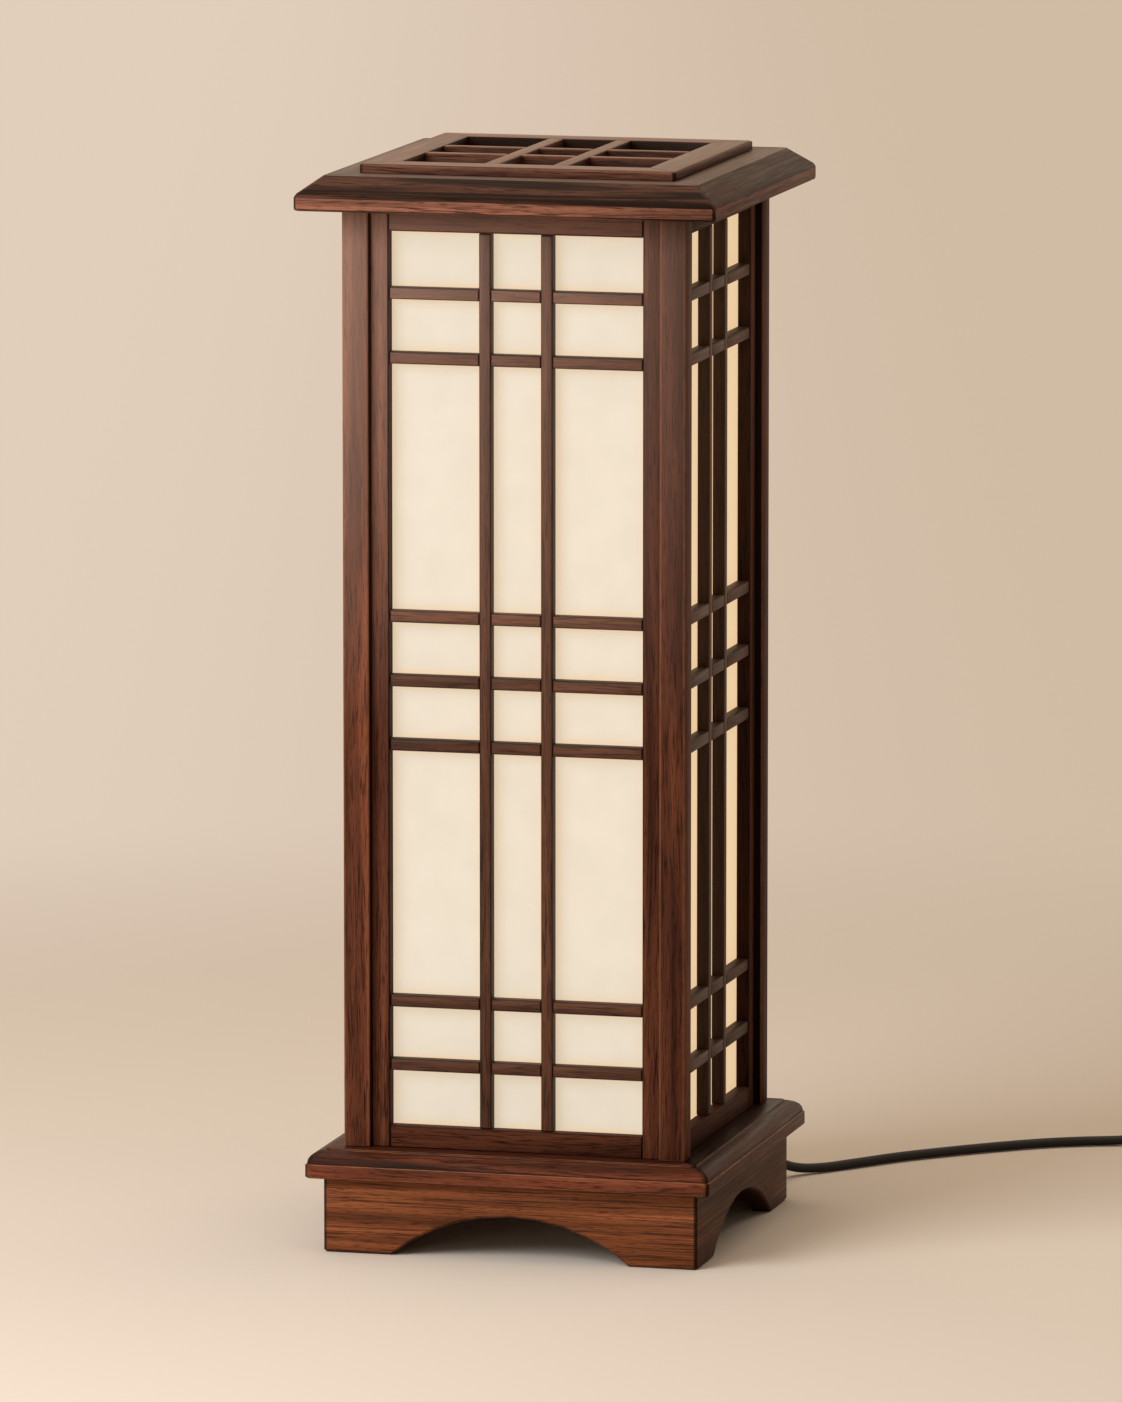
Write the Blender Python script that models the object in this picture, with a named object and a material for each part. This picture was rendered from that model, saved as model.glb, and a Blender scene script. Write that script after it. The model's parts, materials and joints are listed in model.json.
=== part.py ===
# Shoji bedside lamp: four posts between a moulded plinth and a bevelled cap, papered
# lattice panels in mortised frames, a lift-out vent grille, and a bulb inside.
import math

import bmesh
import bpy
from mathutils import Matrix, Vector

for leftover in list(bpy.data.objects):
    bpy.data.objects.remove(leftover, do_unlink=True)

# Driving dimensions in metres. Front is -Y, right is +X, and the feet stand on z = 0.
FIT_GAP = 0.0003              # clearance between faces that are glued or seated
ARRIS = 0.0006                # eased edge on the small timber
CORNER_STEPS = 2              # facets on half of a rounded corner
SMOOTH_ANGLE = math.radians(35.0)
SQUARE_EDGE = math.radians(60.0)  # edges sharper than this are eased on the bars
TOUCH = 1e-6
INNER_ROUND = 0.0010          # inside corners of the mitred rings

BODY_WIDTH = 0.208            # over the posts, both ways
POST_SIZE = 0.016
POST_LENGTH = 0.5579
POST_ROUND = 0.0014

APRON_OVERHANG = 0.010        # apron face beyond the post face
APRON_HEIGHT = 0.045
APRON_THICKNESS = 0.012
APRON_ROUND = 0.0020
APRON_FOOT_ARRIS = 0.0012     # eased bottom edge of the feet
ARCH_CHORD = 0.145
ARCH_RISE = 0.026
ARCH_STEPS = 14

PLINTH_OVERHANG = 0.0192
PLINTH_ROUND = 0.0030
PLINTH_DEPTH = 0.045          # from the outer edge to the inner edge of a member
PLINTH_BAND = 0.0082          # upright edge
PLINTH_FILLET = 0.0009        # small step above the band
OVOLO_RUN = 0.0094
OVOLO_RISE = 0.0068
OVOLO_STEPS = 5
PLINTH_QUIRK = 0.0009         # small step between ovolo and flat top
LEDGE_WIDTH = 0.008           # rabbet that carries the base board
LEDGE_HEIGHT = 0.0065

CAP_OVERHANG = 0.0232
CAP_ROUND = 0.0030
CAP_BAND = 0.0091
CAP_EASE = 0.0014             # rounded arrises of the band
BEVEL_RUN = 0.0145
BEVEL_RISE = 0.0109
CAP_SHELF = 0.0171            # flat top between the bevel and the grille frame

GRILLE_BORDER = 0.0206        # width of the grille frame seen from above
GRILLE_LIP = 0.0120           # how far the grille frame laps the cap
GRILLE_RISE = 0.0052
GRILLE_ROUND = 0.0022
GRILLE_EASE = 0.0012
SPIGOT_DEPTH = 0.0070         # part of the frame that drops into the cap
SPIGOT_CLEARANCE = 0.0005
GRILLE_BAR_WIDTH = 0.0092     # bars that run from front to rear
GRILLE_SLAT_WIDTH = 0.0056    # slats that cross them
GRILLE_BAR_PITCH = 0.0415
GRILLE_BAR_DEPTH = 0.0105

PANEL_RECESS = 0.0050         # post face to stile face
PANEL_THICKNESS = 0.0080
STILE_WIDTH = 0.0108
TOP_RAIL = 0.0129
BOTTOM_RAIL = 0.0128
TENON_SHOULDER = 0.0025
TENON_LENGTH = 0.0060
LATTICE_SETBACK = 0.0008      # lattice face behind the stile face
BAR_WIDTH = 0.0071
UPRIGHT_PITCH = 0.0374
SMALL_CELL = 0.0311           # clear height of the small panes
END_CELL = 0.0330             # clear height of the panes beside the rails
PAPER_THICKNESS = 0.0005
PAPER_LAP = 0.0050            # paper glued over the back of the frame

TURNED_SIDES = 24
NIPPLE_RADIUS = 0.0050
NIPPLE_BORE = 0.0036
NIPPLE_DROP = 0.0110          # thread below the base board
NUT_ACROSS_FLATS = 0.0150
NUT_THICKNESS = 0.0040
HOLDER_RADIUS = 0.0195
HOLDER_HEIGHT = 0.0520
HOLDER_FOOT_RADIUS = 0.0125
HOLDER_DOME = 0.0160          # height of the domed foot
HOLDER_DOME_STEPS = 4
HOLDER_RIM = 0.0010           # proud ring round the mouth
HOLDER_RIM_HEIGHT = 0.0050
HOLDER_BORE = 0.0138
HOLDER_BORE_DEPTH = 0.0300
HOLDER_SOCKET = 0.0080        # nipple length held in the foot
BULB_CAP_RADIUS = 0.0132
BULB_CAP_PROUD = 0.0020       # cap above the holder's mouth
BULB_CAP_TIP = 0.0050         # tapered insulator at the bottom
BULB_CAP_TIP_RADIUS = 0.0048
BULB_RADIUS = 0.0300
BULB_LENGTH = 0.0800
BULB_NECK_RADIUS = 0.0126
BULB_JOIN = math.radians(-35.0)  # where the neck meets the globe, below its equator
BULB_NECK_STEPS = 6
BULB_GLOBE_STEPS = 9

CORD_RADIUS = 0.0029
CORD_LIFT = 0.0001            # under a cord that lies on the floor
CORD_END = 0.0060             # straight run where a cord meets a piece
CORD_FACETS = 2               # bevel resolution of a cord, and of its coil
COIL_FACETS = 1
ROUTE_STEPS = 20              # fine steps between two points of a route
LEAD_SAG = 0.0146             # lowest centre of the lead inside the base
LEAD_FALL = ((0.03, 0.02, 0.44), (0.10, 0.07, 0.12), (0.21, 0.13, 0.01), (0.43, 0.28, 0.00))
LEAD_RISE = ((0.67, 0.45, 0.30), (0.86, 0.63, 0.74), (0.97, 0.80, 1.00))
GLAND_INSET = 0.0220          # apron's outer corner to the cord hole, beside the arch
GLAND_Z = 0.0200
GLAND_SHANK_RADIUS = 0.0048
GLAND_FLANGE_RADIUS = 0.0072
GLAND_FLANGE = 0.0025
GLAND_TAIL = 0.0280
GLAND_TAIL_RADIUS = 0.0056
GLAND_TIP_RADIUS = 0.0040
GLAND_RIBS = 5
GLAND_RIB_SHARE = 0.6         # part of each step that stands proud, and its sloped part
GLAND_RIB_SLOPE = 0.1
GLAND_GROOVE = 0.0007
GLAND_INSIDE = 0.0020         # shank showing inside the apron

SWITCH_X = 0.3470             # middle of the switch in the cord
SWITCH_Y = 0.3430
SWITCH_LENGTH = 0.0600
SWITCH_WIDTH = 0.0260
SWITCH_HEIGHT = 0.0180
SWITCH_NOSE = 0.0110          # square end where the cord goes in
SWITCH_TAPER = 0.0100
SWITCH_CORNER = 0.0040
SWITCH_AXIS_Z = 0.0072
ROCKER_LENGTH = 0.0172
ROCKER_WIDTH = 0.0124
ROCKER_DISH = 0.0012          # ends of the rocker above its middle
ROCKER_TOP = 0.0020           # rocker's middle above its pivot
ROCKER_UNDER = 0.0020
ROCKER_SINK = 0.0022          # pivot below the switch's top
ROCKER_TILT = math.radians(9.0)
ROCKER_CLEARANCE = 0.0008     # rocker end to the well's wall
WELL_DEPTH = 0.0064
PIN_RADIUS = 0.0012
PIN_LENGTH = 0.0012           # pin standing out of each side of the rocker

BLOCK_FLARE_WIDTH = 1.25      # switch and plug at half their taper, as shares of the nose
BLOCK_FLARE_HEIGHT = 1.1
BLOCK_ROUND_LIMIT = 0.3       # largest corner radius as a share of the smaller side

PLUG_X = 0.3500               # cord end of the plug
PLUG_Y = 0.1795
PLUG_LENGTH = 0.0340
PLUG_WIDTH = 0.0260
PLUG_HEIGHT = 0.0160
PLUG_TAIL = 0.0090
PLUG_TAPER = 0.0140
PLUG_CORNER = 0.0040
PLUG_AXIS_Z = 0.0082
BLADE_SPACING = 0.0127
BLADE_THICKNESS = 0.0015
BLADE_HEIGHT = 0.0063
BLADE_LENGTH = 0.0160
BLADE_ROOT = 0.0080           # length moulded into the plug
BLADE_TIP = 0.0018

COIL_X = 0.3590
COIL_Y = 0.2455
COIL_RADIUS = 0.0425          # first, outer turn
COIL_PITCH = 0.0064           # turn to turn, and layer to layer
COIL_TURNS_IN = 2.75
COIL_TURNS_OUT = 3.0
COIL_CLIMB = 0.5              # turn in which it rises a layer and reverses
COIL_POINTS = 24              # points in a turn

# Levels and faces worked out from the driving dimensions
BODY_HALF = BODY_WIDTH / 2
POST_INNER = BODY_HALF - POST_SIZE
APRON_HALF = BODY_HALF + APRON_OVERHANG
PLINTH_HALF = BODY_HALF + PLINTH_OVERHANG
CAP_HALF = BODY_HALF + CAP_OVERHANG
PLINTH_HEIGHT = PLINTH_BAND + OVOLO_RISE + PLINTH_FILLET + PLINTH_QUIRK
PLINTH_BOTTOM = APRON_HEIGHT + FIT_GAP
PLINTH_TOP = PLINTH_BOTTOM + PLINTH_HEIGHT
PLINTH_INNER = PLINTH_HALF - PLINTH_DEPTH
LEDGE_OUTER = PLINTH_INNER + LEDGE_WIDTH
BOARD_BOTTOM = PLINTH_BOTTOM + LEDGE_HEIGHT + FIT_GAP
BODY_BOTTOM = PLINTH_TOP + FIT_GAP
BODY_TOP = BODY_BOTTOM + POST_LENGTH
CAP_BOTTOM = BODY_TOP + FIT_GAP
CAP_TOP = CAP_BOTTOM + CAP_BAND + BEVEL_RISE
GRILLE_HALF = CAP_HALF - BEVEL_RUN - CAP_SHELF
CAP_OPENING = GRILLE_HALF - GRILLE_LIP
GRILLE_OPENING = GRILLE_HALF - GRILLE_BORDER
GRILLE_SEAT = CAP_TOP + FIT_GAP
GRILLE_TOP = GRILLE_SEAT + GRILLE_RISE
PANEL_FRONT = -(BODY_HALF - PANEL_RECESS)
PANEL_BACK = PANEL_FRONT + PANEL_THICKNESS
STILE_OUTER = POST_INNER - FIT_GAP
STILE_INNER = STILE_OUTER - STILE_WIDTH
BACK_MITRE = max(PANEL_RECESS + PANEL_THICKNESS - POST_SIZE, 0.0) + FIT_GAP
PANE_BOTTOM = BODY_BOTTOM + BOTTOM_RAIL
PANE_TOP = BODY_TOP - TOP_RAIL
MITRE_CUT = FIT_GAP / math.sqrt(2.0)
HOLDER_FOOT = PLINTH_TOP + FIT_GAP
HOLDER_MOUTH = HOLDER_FOOT + HOLDER_HEIGHT
HOLDER_BORE_FLOOR = HOLDER_MOUTH - HOLDER_BORE_DEPTH
NIPPLE_BOTTOM = BOARD_BOTTOM - NIPPLE_DROP
BULB_CAP_TOP = HOLDER_MOUTH + BULB_CAP_PROUD
GLAND_X = APRON_HALF - GLAND_INSET
GLAND_OUTSIDE = APRON_HALF + FIT_GAP
GLAND_INNER_END = APRON_HALF - APRON_THICKNESS - GLAND_INSIDE
GLAND_TIP = GLAND_OUTSIDE + GLAND_FLANGE + GLAND_TAIL
ROCKER_PIVOT = Vector((SWITCH_X, SWITCH_Y, SWITCH_HEIGHT - ROCKER_SINK))
ROCKER_PIN_HALF = ROCKER_WIDTH / 2 + PIN_LENGTH
CORD_FLOOR = CORD_RADIUS + CORD_LIFT
CORD_STEP = 5 * CORD_RADIUS

SIDES = (("front", 0.0), ("right", 90.0), ("rear", 180.0), ("left", 270.0))


def finish(name, colour, roughness, metallic=0.0):
    material = bpy.data.materials.new(name)
    material.use_nodes = True
    shader = material.node_tree.nodes["Principled BSDF"]
    shader.inputs["Base Color"].default_value = (*colour, 1.0)
    shader.inputs["Roughness"].default_value = roughness
    shader.inputs["Metallic"].default_value = metallic
    return material


ROSEWOOD = finish("rosewood stain", (0.082, 0.030, 0.018), 0.38)
KUMIKO = finish("lattice wood", (0.070, 0.026, 0.016), 0.42)
BOARD = finish("base board", (0.110, 0.048, 0.028), 0.60)
PAPER = finish("washi paper", (0.860, 0.760, 0.590), 0.85)
BRASS = finish("brass", (0.700, 0.500, 0.230), 0.30, 1.0)
PHENOLIC = finish("black phenolic", (0.014, 0.013, 0.012), 0.35)
OPAL = finish("opal glass", (0.880, 0.860, 0.820), 0.25)
VINYL = finish("black vinyl", (0.012, 0.012, 0.012), 0.45)


def piece(name, bm, material, turn=0.0):
    mesh = bpy.data.meshes.new(name)
    bm.to_mesh(mesh)
    bm.free()
    mesh.materials.append(material)
    obj = bpy.data.objects.new(name, mesh)
    obj.rotation_euler.z = math.radians(turn)
    bpy.context.collection.objects.link(obj)
    return obj


def smooth_round(obj):
    obj.data.shade_smooth()
    obj.data.set_sharp_from_angle(angle=SMOOTH_ANGLE)


def cutter(name, bm, turn=0.0):
    obj = piece(name, bm, BOARD, turn)
    obj.hide_render = True
    obj.display_type = "WIRE"
    return obj


def boolean(obj, tool, operation="DIFFERENCE"):
    modifier = obj.modifiers.new(tool.name, "BOOLEAN")
    modifier.operation = operation
    modifier.solver = "EXACT"
    modifier.object = tool


def loft(loops, closed=False):
    # Skin a run of point loops; an open run gets a cap at each end
    bm = bmesh.new()
    rings = [[bm.verts.new(point) for point in loop] for loop in loops]
    pairs = list(zip(rings, rings[1:]))
    if closed:
        pairs.append((rings[-1], rings[0]))
    else:
        bm.faces.new(rings[0])
        bm.faces.new(rings[-1])
    for near, far in pairs:
        for k in range(len(near)):
            n = (k + 1) % len(near)
            bm.faces.new((near[k], near[n], far[n], far[k]))
    bmesh.ops.recalc_face_normals(bm, faces=bm.faces)
    return bm


def turned(profile):
    # Spin a profile of (radius, height) about Z; its ends lie on the axis or meet each other
    bm = bmesh.new()
    verts = [bm.verts.new((radius, 0.0, height)) for radius, height in profile]
    edges = [bm.edges.new(pair) for pair in zip(verts, verts[1:])]
    if profile[0][0] > 0.0:
        edges.append(bm.edges.new((verts[-1], verts[0])))
    bmesh.ops.spin(
        bm, geom=verts + edges, axis=(0, 0, 1), cent=(0, 0, 0), angle=math.tau,
        steps=TURNED_SIDES, use_merge=True,
    )
    bmesh.ops.remove_doubles(bm, verts=bm.verts, dist=TOUCH)
    bmesh.ops.recalc_face_normals(bm, faces=bm.faces)
    return bm


def box(low, high):
    bm = bmesh.new()
    bmesh.ops.create_cube(bm, size=1.0)
    low, high = Vector(low), Vector(high)
    for vert in bm.verts:
        vert.co = [low[k] if vert.co[k] < 0.0 else high[k] for k in range(3)]
    return bm


def merged(*parts):
    # Put several separate meshes in one
    mesh = bpy.data.meshes.new("merged")
    bm = bmesh.new()
    for part in parts:
        part.to_mesh(mesh)
        part.free()
        bm.from_mesh(mesh)
    bpy.data.meshes.remove(mesh)
    return bm


def rounded_rectangle(width, height, radius, steps=2):
    points = []
    for corner, (sx, sy) in enumerate(((1, 1), (-1, 1), (-1, -1), (1, -1))):
        for k in range(steps + 1):
            angle = math.radians(90.0 * (corner + k / steps))
            points.append((
                sx * (width / 2 - radius) + radius * math.cos(angle),
                sy * (height / 2 - radius) + radius * math.sin(angle),
            ))
    return points


def corner_plan(reach, radius):
    # Right-hand end of a mitred side seen from above, from the straight to the mitre
    points = []
    for k in range(CORNER_STEPS + 1):
        angle = math.radians(45.0 * k / CORNER_STEPS)
        cut = MITRE_CUT if k == CORNER_STEPS else 0.0
        x = reach - radius + radius * math.sin(angle) - cut
        points.append((x, -(reach - radius + radius * math.cos(angle))))
    return points


def mitred_side(profile):
    # One side of a square ring; the profile gives (reach from the axis, height, corner radius)
    plans = [corner_plan(reach, radius) for reach, _, radius in profile]
    heights = [height for _, height, _ in profile]
    right = [
        [Vector((*plan[k], z)) for plan, z in zip(plans, heights)]
        for k in range(CORNER_STEPS + 1)
    ]
    left = [[Vector((-p.x, p.y, p.z)) for p in loop] for loop in reversed(right)]
    return loft(left + right)


def add_apron(name, turn):
    # Mitred board with an arched lower edge
    half_chord = ARCH_CHORD / 2
    arch_radius = (half_chord ** 2 + ARCH_RISE ** 2) / (2 * ARCH_RISE)
    reaches = (APRON_HALF - APRON_FOOT_ARRIS, APRON_HALF, APRON_HALF - APRON_THICKNESS)
    rounds = (APRON_ROUND, APRON_ROUND, INNER_ROUND)

    def section(foot, face, back, lift):
        # Up the face from its eased foot, over the top and down the back
        return [
            Vector((*foot, lift)),
            Vector((*face, lift + APRON_FOOT_ARRIS)),
            Vector((*face, APRON_HEIGHT)),
            Vector((*back, APRON_HEIGHT)),
            Vector((*back, lift)),
        ]

    right = []
    steps = ARCH_STEPS // 2
    for k in range(steps + 1):
        x = half_chord * math.sin(math.pi / 2 * k / steps)
        lift = math.sqrt(arch_radius ** 2 - x ** 2) - (arch_radius - ARCH_RISE)
        right.append(section(*((x, -reach) for reach in reaches), max(lift, 0.0)))
    ends = [corner_plan(reach, radius) for reach, radius in zip(reaches, rounds)]
    right += [section(*places, 0.0) for places in zip(*ends)]
    left = [[Vector((-p.x, p.y, p.z)) for p in loop] for loop in reversed(right[1:])]
    return piece(name, loft(left + right), ROSEWOOD, turn)


def add_plinth(name, turn):
    edge = PLINTH_HALF
    step = edge - PLINTH_FILLET
    ease = PLINTH_FILLET
    ovolo_foot = PLINTH_BAND + PLINTH_FILLET
    profile = [(edge - ease, 0.0), (edge, ease), (edge, PLINTH_BAND), (step, PLINTH_BAND)]
    for k in range(OVOLO_STEPS + 1):
        angle = math.pi / 2 * k / OVOLO_STEPS
        profile.append((
            step - OVOLO_RUN * (1.0 - math.cos(angle)),
            ovolo_foot + OVOLO_RISE * math.sin(angle),
        ))
    profile += [(step - OVOLO_RUN, PLINTH_HEIGHT)]
    outer = [(reach, PLINTH_BOTTOM + z, PLINTH_ROUND) for reach, z in profile]
    inside = [
        (LEDGE_OUTER, PLINTH_HEIGHT),
        (LEDGE_OUTER, LEDGE_HEIGHT),
        (PLINTH_INNER, LEDGE_HEIGHT),
        (PLINTH_INNER, 0.0),
    ]
    inner = [(reach, PLINTH_BOTTOM + z, INNER_ROUND) for reach, z in inside]
    return piece(name, mitred_side(outer + inner), ROSEWOOD, turn)


def add_cap(name, turn):
    ease = CAP_EASE
    small = ease * (1.0 - math.sqrt(0.5))
    edge = CAP_HALF
    rise = BEVEL_RISE / BEVEL_RUN
    profile = [
        (edge - ease, 0.0),
        (edge - small, small),
        (edge, ease),
        (edge, CAP_BAND - ease),
        (edge - small, CAP_BAND - small),
        (edge - ease, CAP_BAND + rise * ease),
        (edge - BEVEL_RUN, CAP_BAND + BEVEL_RISE),
    ]
    outer = [(reach, CAP_BOTTOM + z, CAP_ROUND) for reach, z in profile]
    inner = [(CAP_OPENING, CAP_TOP, INNER_ROUND), (CAP_OPENING, CAP_BOTTOM, INNER_ROUND)]
    return piece(name, mitred_side(outer + inner), ROSEWOOD, turn)


def add_grille_side(name, turn):
    ease = GRILLE_EASE
    small = ease * (1.0 - math.sqrt(0.5))
    spigot = CAP_OPENING - SPIGOT_CLEARANCE
    foot = GRILLE_SEAT - SPIGOT_DEPTH
    profile = [
        (GRILLE_OPENING, foot, INNER_ROUND),
        (spigot, foot, INNER_ROUND),
        (spigot, GRILLE_SEAT, INNER_ROUND),
        (GRILLE_HALF, GRILLE_SEAT, GRILLE_ROUND),
        (GRILLE_HALF, GRILLE_TOP - ease, GRILLE_ROUND),
        (GRILLE_HALF - small, GRILLE_TOP - small, GRILLE_ROUND),
        (GRILLE_HALF - ease, GRILLE_TOP, GRILLE_ROUND),
        (GRILLE_OPENING, GRILLE_TOP, INNER_ROUND),
    ]
    return piece(name, mitred_side(profile), ROSEWOOD, turn)


def crossed_bars(columns, rows, depth):
    # Half-lapped bars, face up at z = 0: every second strip between the lines is a bar
    bm = bmesh.new()
    grid = [[bm.verts.new((x, y, 0.0)) for y in rows] for x in columns]
    for i in range(len(columns) - 1):
        for j in range(len(rows) - 1):
            if i % 2 or j % 2:
                bm.faces.new((grid[i][j], grid[i + 1][j], grid[i + 1][j + 1], grid[i][j + 1]))
    bmesh.ops.delete(bm, geom=[v for v in bm.verts if not v.link_faces], context="VERTS")
    below = bmesh.ops.extrude_face_region(bm, geom=bm.faces[:])
    moved = [item for item in below["geom"] if isinstance(item, bmesh.types.BMVert)]
    bmesh.ops.translate(bm, verts=moved, vec=(0.0, 0.0, -depth))
    bmesh.ops.recalc_face_normals(bm, faces=bm.faces)
    ends = {(0, columns[0]), (0, columns[-1]), (1, rows[0]), (1, rows[-1])}

    def is_long_arris(edge):
        a, b = (v.co for v in edge.verts)
        if a.z < 0.0 or b.z < 0.0 or edge.calc_face_angle() < SQUARE_EDGE:
            return False
        return not any(abs(a[k] - at) < TOUCH and abs(b[k] - at) < TOUCH for k, at in ends)

    arrises = [edge for edge in bm.edges if is_long_arris(edge)]
    bmesh.ops.bevel(
        bm, geom=arrises, offset=ARRIS, segments=1, profile=0.5, affect="EDGES", material=-1,
    )
    return bm


def bar_lines(low, high, centres, width):
    lines = [low]
    for centre in centres:
        lines += [centre - width / 2, centre + width / 2]
    return lines + [high]


def add_lattice(name, turn):
    small = SMALL_CELL + BAR_WIDTH
    end = END_CELL + BAR_WIDTH / 2
    middle = (PANE_BOTTOM + PANE_TOP) / 2
    heights = [PANE_BOTTOM + end, PANE_BOTTOM + end + small, middle - small, middle]
    heights += [middle + small, PANE_TOP - end - small, PANE_TOP - end]
    reach = STILE_INNER - FIT_GAP
    columns = bar_lines(-reach, reach, (-UPRIGHT_PITCH / 2, UPRIGHT_PITCH / 2), BAR_WIDTH)
    rows = bar_lines(PANE_BOTTOM + FIT_GAP, PANE_TOP - FIT_GAP, heights, BAR_WIDTH)
    bm = crossed_bars(columns, rows, PANEL_THICKNESS - LATTICE_SETBACK)
    upright = Matrix.Translation((0.0, PANEL_FRONT + LATTICE_SETBACK, 0.0))
    bm.transform(upright @ Matrix.Rotation(math.pi / 2, 4, "X"))
    return piece(name, bm, KUMIKO, turn)


def add_grille_bars(name):
    reach = GRILLE_OPENING - FIT_GAP
    centres = (-GRILLE_BAR_PITCH / 2, GRILLE_BAR_PITCH / 2)
    columns = bar_lines(-reach, reach, centres, GRILLE_BAR_WIDTH)
    rows = bar_lines(-reach, reach, centres, GRILLE_SLAT_WIDTH)
    bm = crossed_bars(columns, rows, GRILLE_BAR_DEPTH)
    bm.transform(Matrix.Translation((0.0, 0.0, GRILLE_TOP)))
    return piece(name, bm, ROSEWOOD)


def add_post(name, sx, sy):
    plan = rounded_rectangle(POST_SIZE, POST_SIZE, POST_ROUND)
    obj = piece(name, loft([[Vector((*p, z)) for p in plan] for z in (0.0, POST_LENGTH)]), ROSEWOOD)
    centre = BODY_HALF - POST_SIZE / 2
    obj.location = (sx * centre, sy * centre, BODY_BOTTOM)
    return obj


def add_stile(name, hand, turn):
    plan = [
        (STILE_INNER + ARRIS, PANEL_FRONT),
        (STILE_OUTER, PANEL_FRONT),
        (STILE_OUTER, PANEL_BACK - BACK_MITRE),
        (STILE_OUTER - BACK_MITRE, PANEL_BACK),
        (STILE_INNER, PANEL_BACK),
        (STILE_INNER, PANEL_FRONT + ARRIS),
    ]
    loops = [[Vector((hand * x, y, z)) for x, y in plan] for z in (BODY_BOTTOM, BODY_TOP)]
    obj = piece(name, loft(loops), ROSEWOOD, turn)
    shoulder = TENON_SHOULDER - FIT_GAP
    sides = sorted((hand * (STILE_INNER - TENON_LENGTH), hand * (STILE_INNER + TENON_LENGTH)))
    mortises = []
    for bottom, top in ((BODY_BOTTOM, PANE_BOTTOM), (PANE_TOP, BODY_TOP)):
        low = (sides[0], PANEL_FRONT + shoulder, bottom + shoulder)
        high = (sides[1], PANEL_BACK - shoulder, top - shoulder)
        mortises.append(box(low, high))
    boolean(obj, cutter(name + "_mortises", merged(*mortises), turn))
    return obj


def add_rail(name, bottom, top, open_edge, turn):
    # Rail with a stub tenon at each end; the open edge, +1 up or -1 down, is eased in front
    def section(x, inset):
        front, back = PANEL_FRONT + inset, PANEL_BACK - inset
        edges = (bottom + inset, top - inset)
        eased, plain = edges if open_edge < 0 else edges[::-1]
        return [
            Vector((x, front, plain)),
            Vector((x, back, plain)),
            Vector((x, back, eased)),
            Vector((x, front + ARRIS, eased)),
            Vector((x, front, eased - open_edge * ARRIS)),
        ]

    shoulder = STILE_INNER - FIT_GAP
    tip = shoulder + TENON_LENGTH
    right = [section(shoulder, 0.0), section(shoulder, TENON_SHOULDER), section(tip, TENON_SHOULDER)]
    left = [[Vector((-p.x, p.y, p.z)) for p in loop] for loop in reversed(right)]
    return piece(name, loft(left + right), ROSEWOOD, turn)


def add_paper(name, turn):
    half = STILE_INNER + PAPER_LAP
    front = PANEL_BACK + FIT_GAP
    low = (-half, front, PANE_BOTTOM - PAPER_LAP)
    high = (half, front + PAPER_THICKNESS, PANE_TOP + PAPER_LAP)
    return piece(name, box(low, high), PAPER, turn)


def add_base_board(name):
    # Square board in the plinth's rabbet, with a hole for the nipple
    half = LEDGE_OUTER - FIT_GAP
    hole = NIPPLE_RADIUS + FIT_GAP
    angles = [math.tau * (k + 0.5) / TURNED_SIDES for k in range(TURNED_SIDES)]
    inner = [Vector((hole * math.cos(a), hole * math.sin(a), 0.0)) for a in angles]
    outer = []
    for a in angles:
        across = max(abs(math.cos(a)), abs(math.sin(a)))
        outer.append(Vector((half * math.cos(a) / across, half * math.sin(a) / across, 0.0)))
    for corner in range(4):
        angle = math.radians(45.0 + 90.0 * corner)
        nearest = min(range(TURNED_SIDES), key=lambda k: abs(angles[k] - angle))
        outer[nearest] = Vector((math.copysign(half, outer[nearest].x),
                                 math.copysign(half, outer[nearest].y), 0.0))
    levels = (BOARD_BOTTOM, PLINTH_TOP)
    loops = [[p + Vector((0.0, 0.0, levels[0])) for p in inner]]
    loops += [[p + Vector((0.0, 0.0, z)) for p in outer] for z in levels]
    loops += [[p + Vector((0.0, 0.0, levels[1])) for p in inner]]
    return piece(name, loft(loops, closed=True), BOARD)


def add_holder():
    socket_top = HOLDER_FOOT + HOLDER_SOCKET
    socket_radius = NIPPLE_RADIUS + FIT_GAP
    profile = [(0.0, socket_top), (socket_radius, socket_top), (socket_radius, HOLDER_FOOT)]
    for k in range(HOLDER_DOME_STEPS + 1):
        angle = math.pi / 2 * k / HOLDER_DOME_STEPS
        profile.append((
            HOLDER_FOOT_RADIUS + (HOLDER_RADIUS - HOLDER_FOOT_RADIUS) * math.sin(angle),
            HOLDER_FOOT + HOLDER_DOME * (1.0 - math.cos(angle)),
        ))
    rim = HOLDER_RADIUS + HOLDER_RIM
    profile += [
        (HOLDER_RADIUS, HOLDER_MOUTH - HOLDER_RIM_HEIGHT),
        (rim, HOLDER_MOUTH - HOLDER_RIM_HEIGHT + HOLDER_RIM),
        (rim, HOLDER_MOUTH - HOLDER_RIM),
        (HOLDER_RADIUS, HOLDER_MOUTH),
        (HOLDER_BORE, HOLDER_MOUTH),
        (HOLDER_BORE, HOLDER_BORE_FLOOR),
        (0.0, HOLDER_BORE_FLOOR),
    ]
    smooth_round(piece("lampholder", turned(profile), PHENOLIC))


def add_nipple():
    top = HOLDER_FOOT + HOLDER_SOCKET - FIT_GAP
    tube = [(NIPPLE_BORE, NIPPLE_BOTTOM), (NIPPLE_RADIUS, NIPPLE_BOTTOM)]
    tube += [(NIPPLE_RADIUS, top), (NIPPLE_BORE, top)]
    smooth_round(piece("threaded_nipple", turned(tube), BRASS))


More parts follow.
